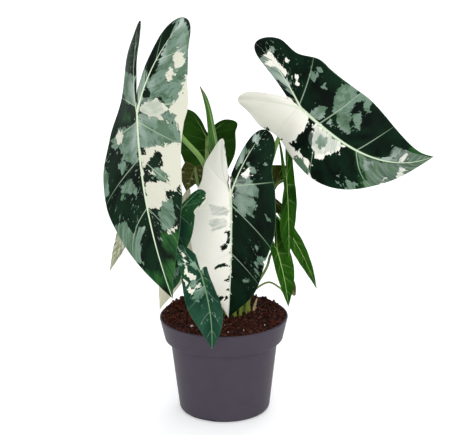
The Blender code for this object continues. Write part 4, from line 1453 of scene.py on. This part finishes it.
# %% The crown
# Corky stock: tan where it is old, greener where a leaf has just left it.
cork, node, shader = finish_of("corky stock", Roughness=.75)
place = node("TexCoord").outputs["Object"]
scars = node("TexWave", place, 130, 4, 3, bands_direction="Z")
patch = node("TexNoise", place, 260, 4)
old = node("Mix", patch, "5E4A26", "9C8648")
tone = node("Mix", scars, old, "8A8A44")
relief = node("Bump", Height=scars, Strength=.5, Distance=.0006)
feed(shader, Base_Color=tone, Normal=relief)

CROWN_CENTRE = (.011, .010)
CROWN_ROWS = 48
CROWN_STEPS = 72
crown_line = np.array(((0, .0742), (.011, .0745), (.0125, .077), (.0142, .081), (.0152, .085),
                       (.0146, .0872), (.0118, .0888), (.006, .0894), (0, .0896)))
rows = np.linspace(0, len(crown_line) - 1, CROWN_ROWS)
line = through(np.arange(len(crown_line)), crown_line, rows)
line[[0, -1], 0] = 0
surface = turned(line, CROWN_STEPS)
turn = np.linspace(0, 2 * math.pi, CROWN_STEPS, endpoint=False)
lumps = 1 + .05 * np.sin(5 * turn + 90 * line[:, 1:] / .1) + .03 * np.sin(11 * turn - 2)
surface[..., :2] *= lumps[..., None]
surface[..., :2] += CROWN_CENTRE
crown = skin("corky_crown", [(surface, True, True)], [cork])
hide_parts("crown")
print("crown faces:", len(crown.data.polygons))

# %% [markdown]
# ## The rolled leaf and the dry sheath
#
# A new alocasia leaf comes up rolled lengthwise like an umbrella, on a stem of its own.  Its seam
# shows as a step that winds slowly up the roll.  The dry sheath is what is left of an old leaf: a
# thin papery strap beside the crown.  Both are tubes whose ring isn't round: the first has a step in
# its radius, the second is pinched nearly flat.

# %% New leaf and dry sheath
SPEAR = (((10, 11, 86), 2.4), ((9, 10.7, 104), 2.1), ((6, 10, 150), 2.0), ((-1, 9, 205), 2.0),
         ((-6, 8, 238), 4.1), ((-8, 7, 254), 4.4), ((-10, 6, 272), 3.6), ((-12.2, 5.5, 288), 2.8),
         ((-15.3, 4.8, 300), 2.0), ((-19.5, 4, 310), .35))
DRY_SHEATH = (((28, 12, 86), 1.6), ((28.8, 12.2, 95), 1.3), ((30.3, 12.3, 100), 1.0),
              ((31.6, 12.4, 103.8), .4))
SEAM_START = 1.9              # radians round the roll
SEAM_WINDING = 3.0            # radians that the seam turns from foot to tip


def rolled(share, angle):
    """Radius of a rolled leaf: it falls by a sixth round the ring, and the step winds upwards."""
    blade = 1 / (1 + np.exp(-(share - .6) * 40))
    lag = (angle + SEAM_START + SEAM_WINDING * share) % (2 * math.pi) / (2 * math.pi)
    return 1 - .17 * blade * lag + .06 * blade * np.sin(4 * angle)


def strap(share, angle):
    """A pinched ring: a third as thick as it is wide, and crinkled along its length."""
    flat = 1 / np.sqrt(np.cos(angle) ** 2 + (np.sin(angle) / .3) ** 2)
    return flat * (1 + .12 * np.sin(share * 31 + 2 * angle))


# The rolled blade: fresh green, paler along the seam and browning at the very tip.
young, node, shader = finish_of("rolled young leaf", Roughness=.42, Specular_IOR_Level=.3, **FLESHY)
run = node("Attribute", attribute_name="run").outputs["Vector"]
share, angle, _ = node("SeparateXYZ", run).outputs[:]
place = node("TexCoord").outputs["Object"]
drawn_out = node("Mapping", place, Scale=(1, 1, .15))
streak = node("TexNoise", drawn_out, 700, 3)
bloom = node("Mix", streak, "244C15", "4F7D2E")
climb = node("MapRange", share, .5, .62)
body = node("Mix", climb, "86A85A", bloom)
lag = node("Math", share, SEAM_WINDING, angle, operation="MULTIPLY_ADD")
lag = node("Math", lag, SEAM_START, operation="ADD")
lag = node("Math", lag, 2 * math.pi, operation="MODULO")
seam = node("MapRange", lag, .5, 0, 0, .7)
seam = node("Math", seam, climb, operation="MULTIPLY")
body = node("Mix", seam, body, "9CBB6A")
end = node("MapRange", share, .965, .995)
body = node("Mix", end, body, "6E5A34")
relief = node("Bump", Height=streak, Strength=.3, Distance=.0004)
feed(shader, Base_Color=body, Normal=relief)

# Dead sheath: paper-dry parallel fibres, straw to grey-brown.
paper, node, shader = finish_of("dry leaf sheath", Roughness=.85)
place = node("TexCoord").outputs["Object"]
drawn_out = node("Mapping", place, Scale=(1, 1, .1))
fibre = node("TexNoise", drawn_out, 1500, 3)
tone = node("Mix", fibre, "8A744C", "D9C79E")
relief = node("Bump", Height=fibre, Strength=.6, Distance=.0004)
feed(shader, Base_Color=tone, Normal=relief)

for name, line, material, shape, rings, slot in (
        ("rolled_leaf", SPEAR, young, rolled, 220, "green_blade"),
        ("dry_strap", DRY_SHEATH, paper, strap, 60, "dry_sheath")):
    places, radii = (np.array(v) * MM for v in zip(*line))
    piece = tube_piece(name, places, radii, material, rings, 36, 0, shape)
    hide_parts("new_leaf" if name == "rolled_leaf" else "dry_sheath")
    print(name, len(piece.data.polygons), "triangles")

# %% Print both boxes
boxes = {"cad": cad_box, "visual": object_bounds()}
for key, box in boxes.items():
    print(key, [[round(c / MM, 1) for c in corner] for corner in box])
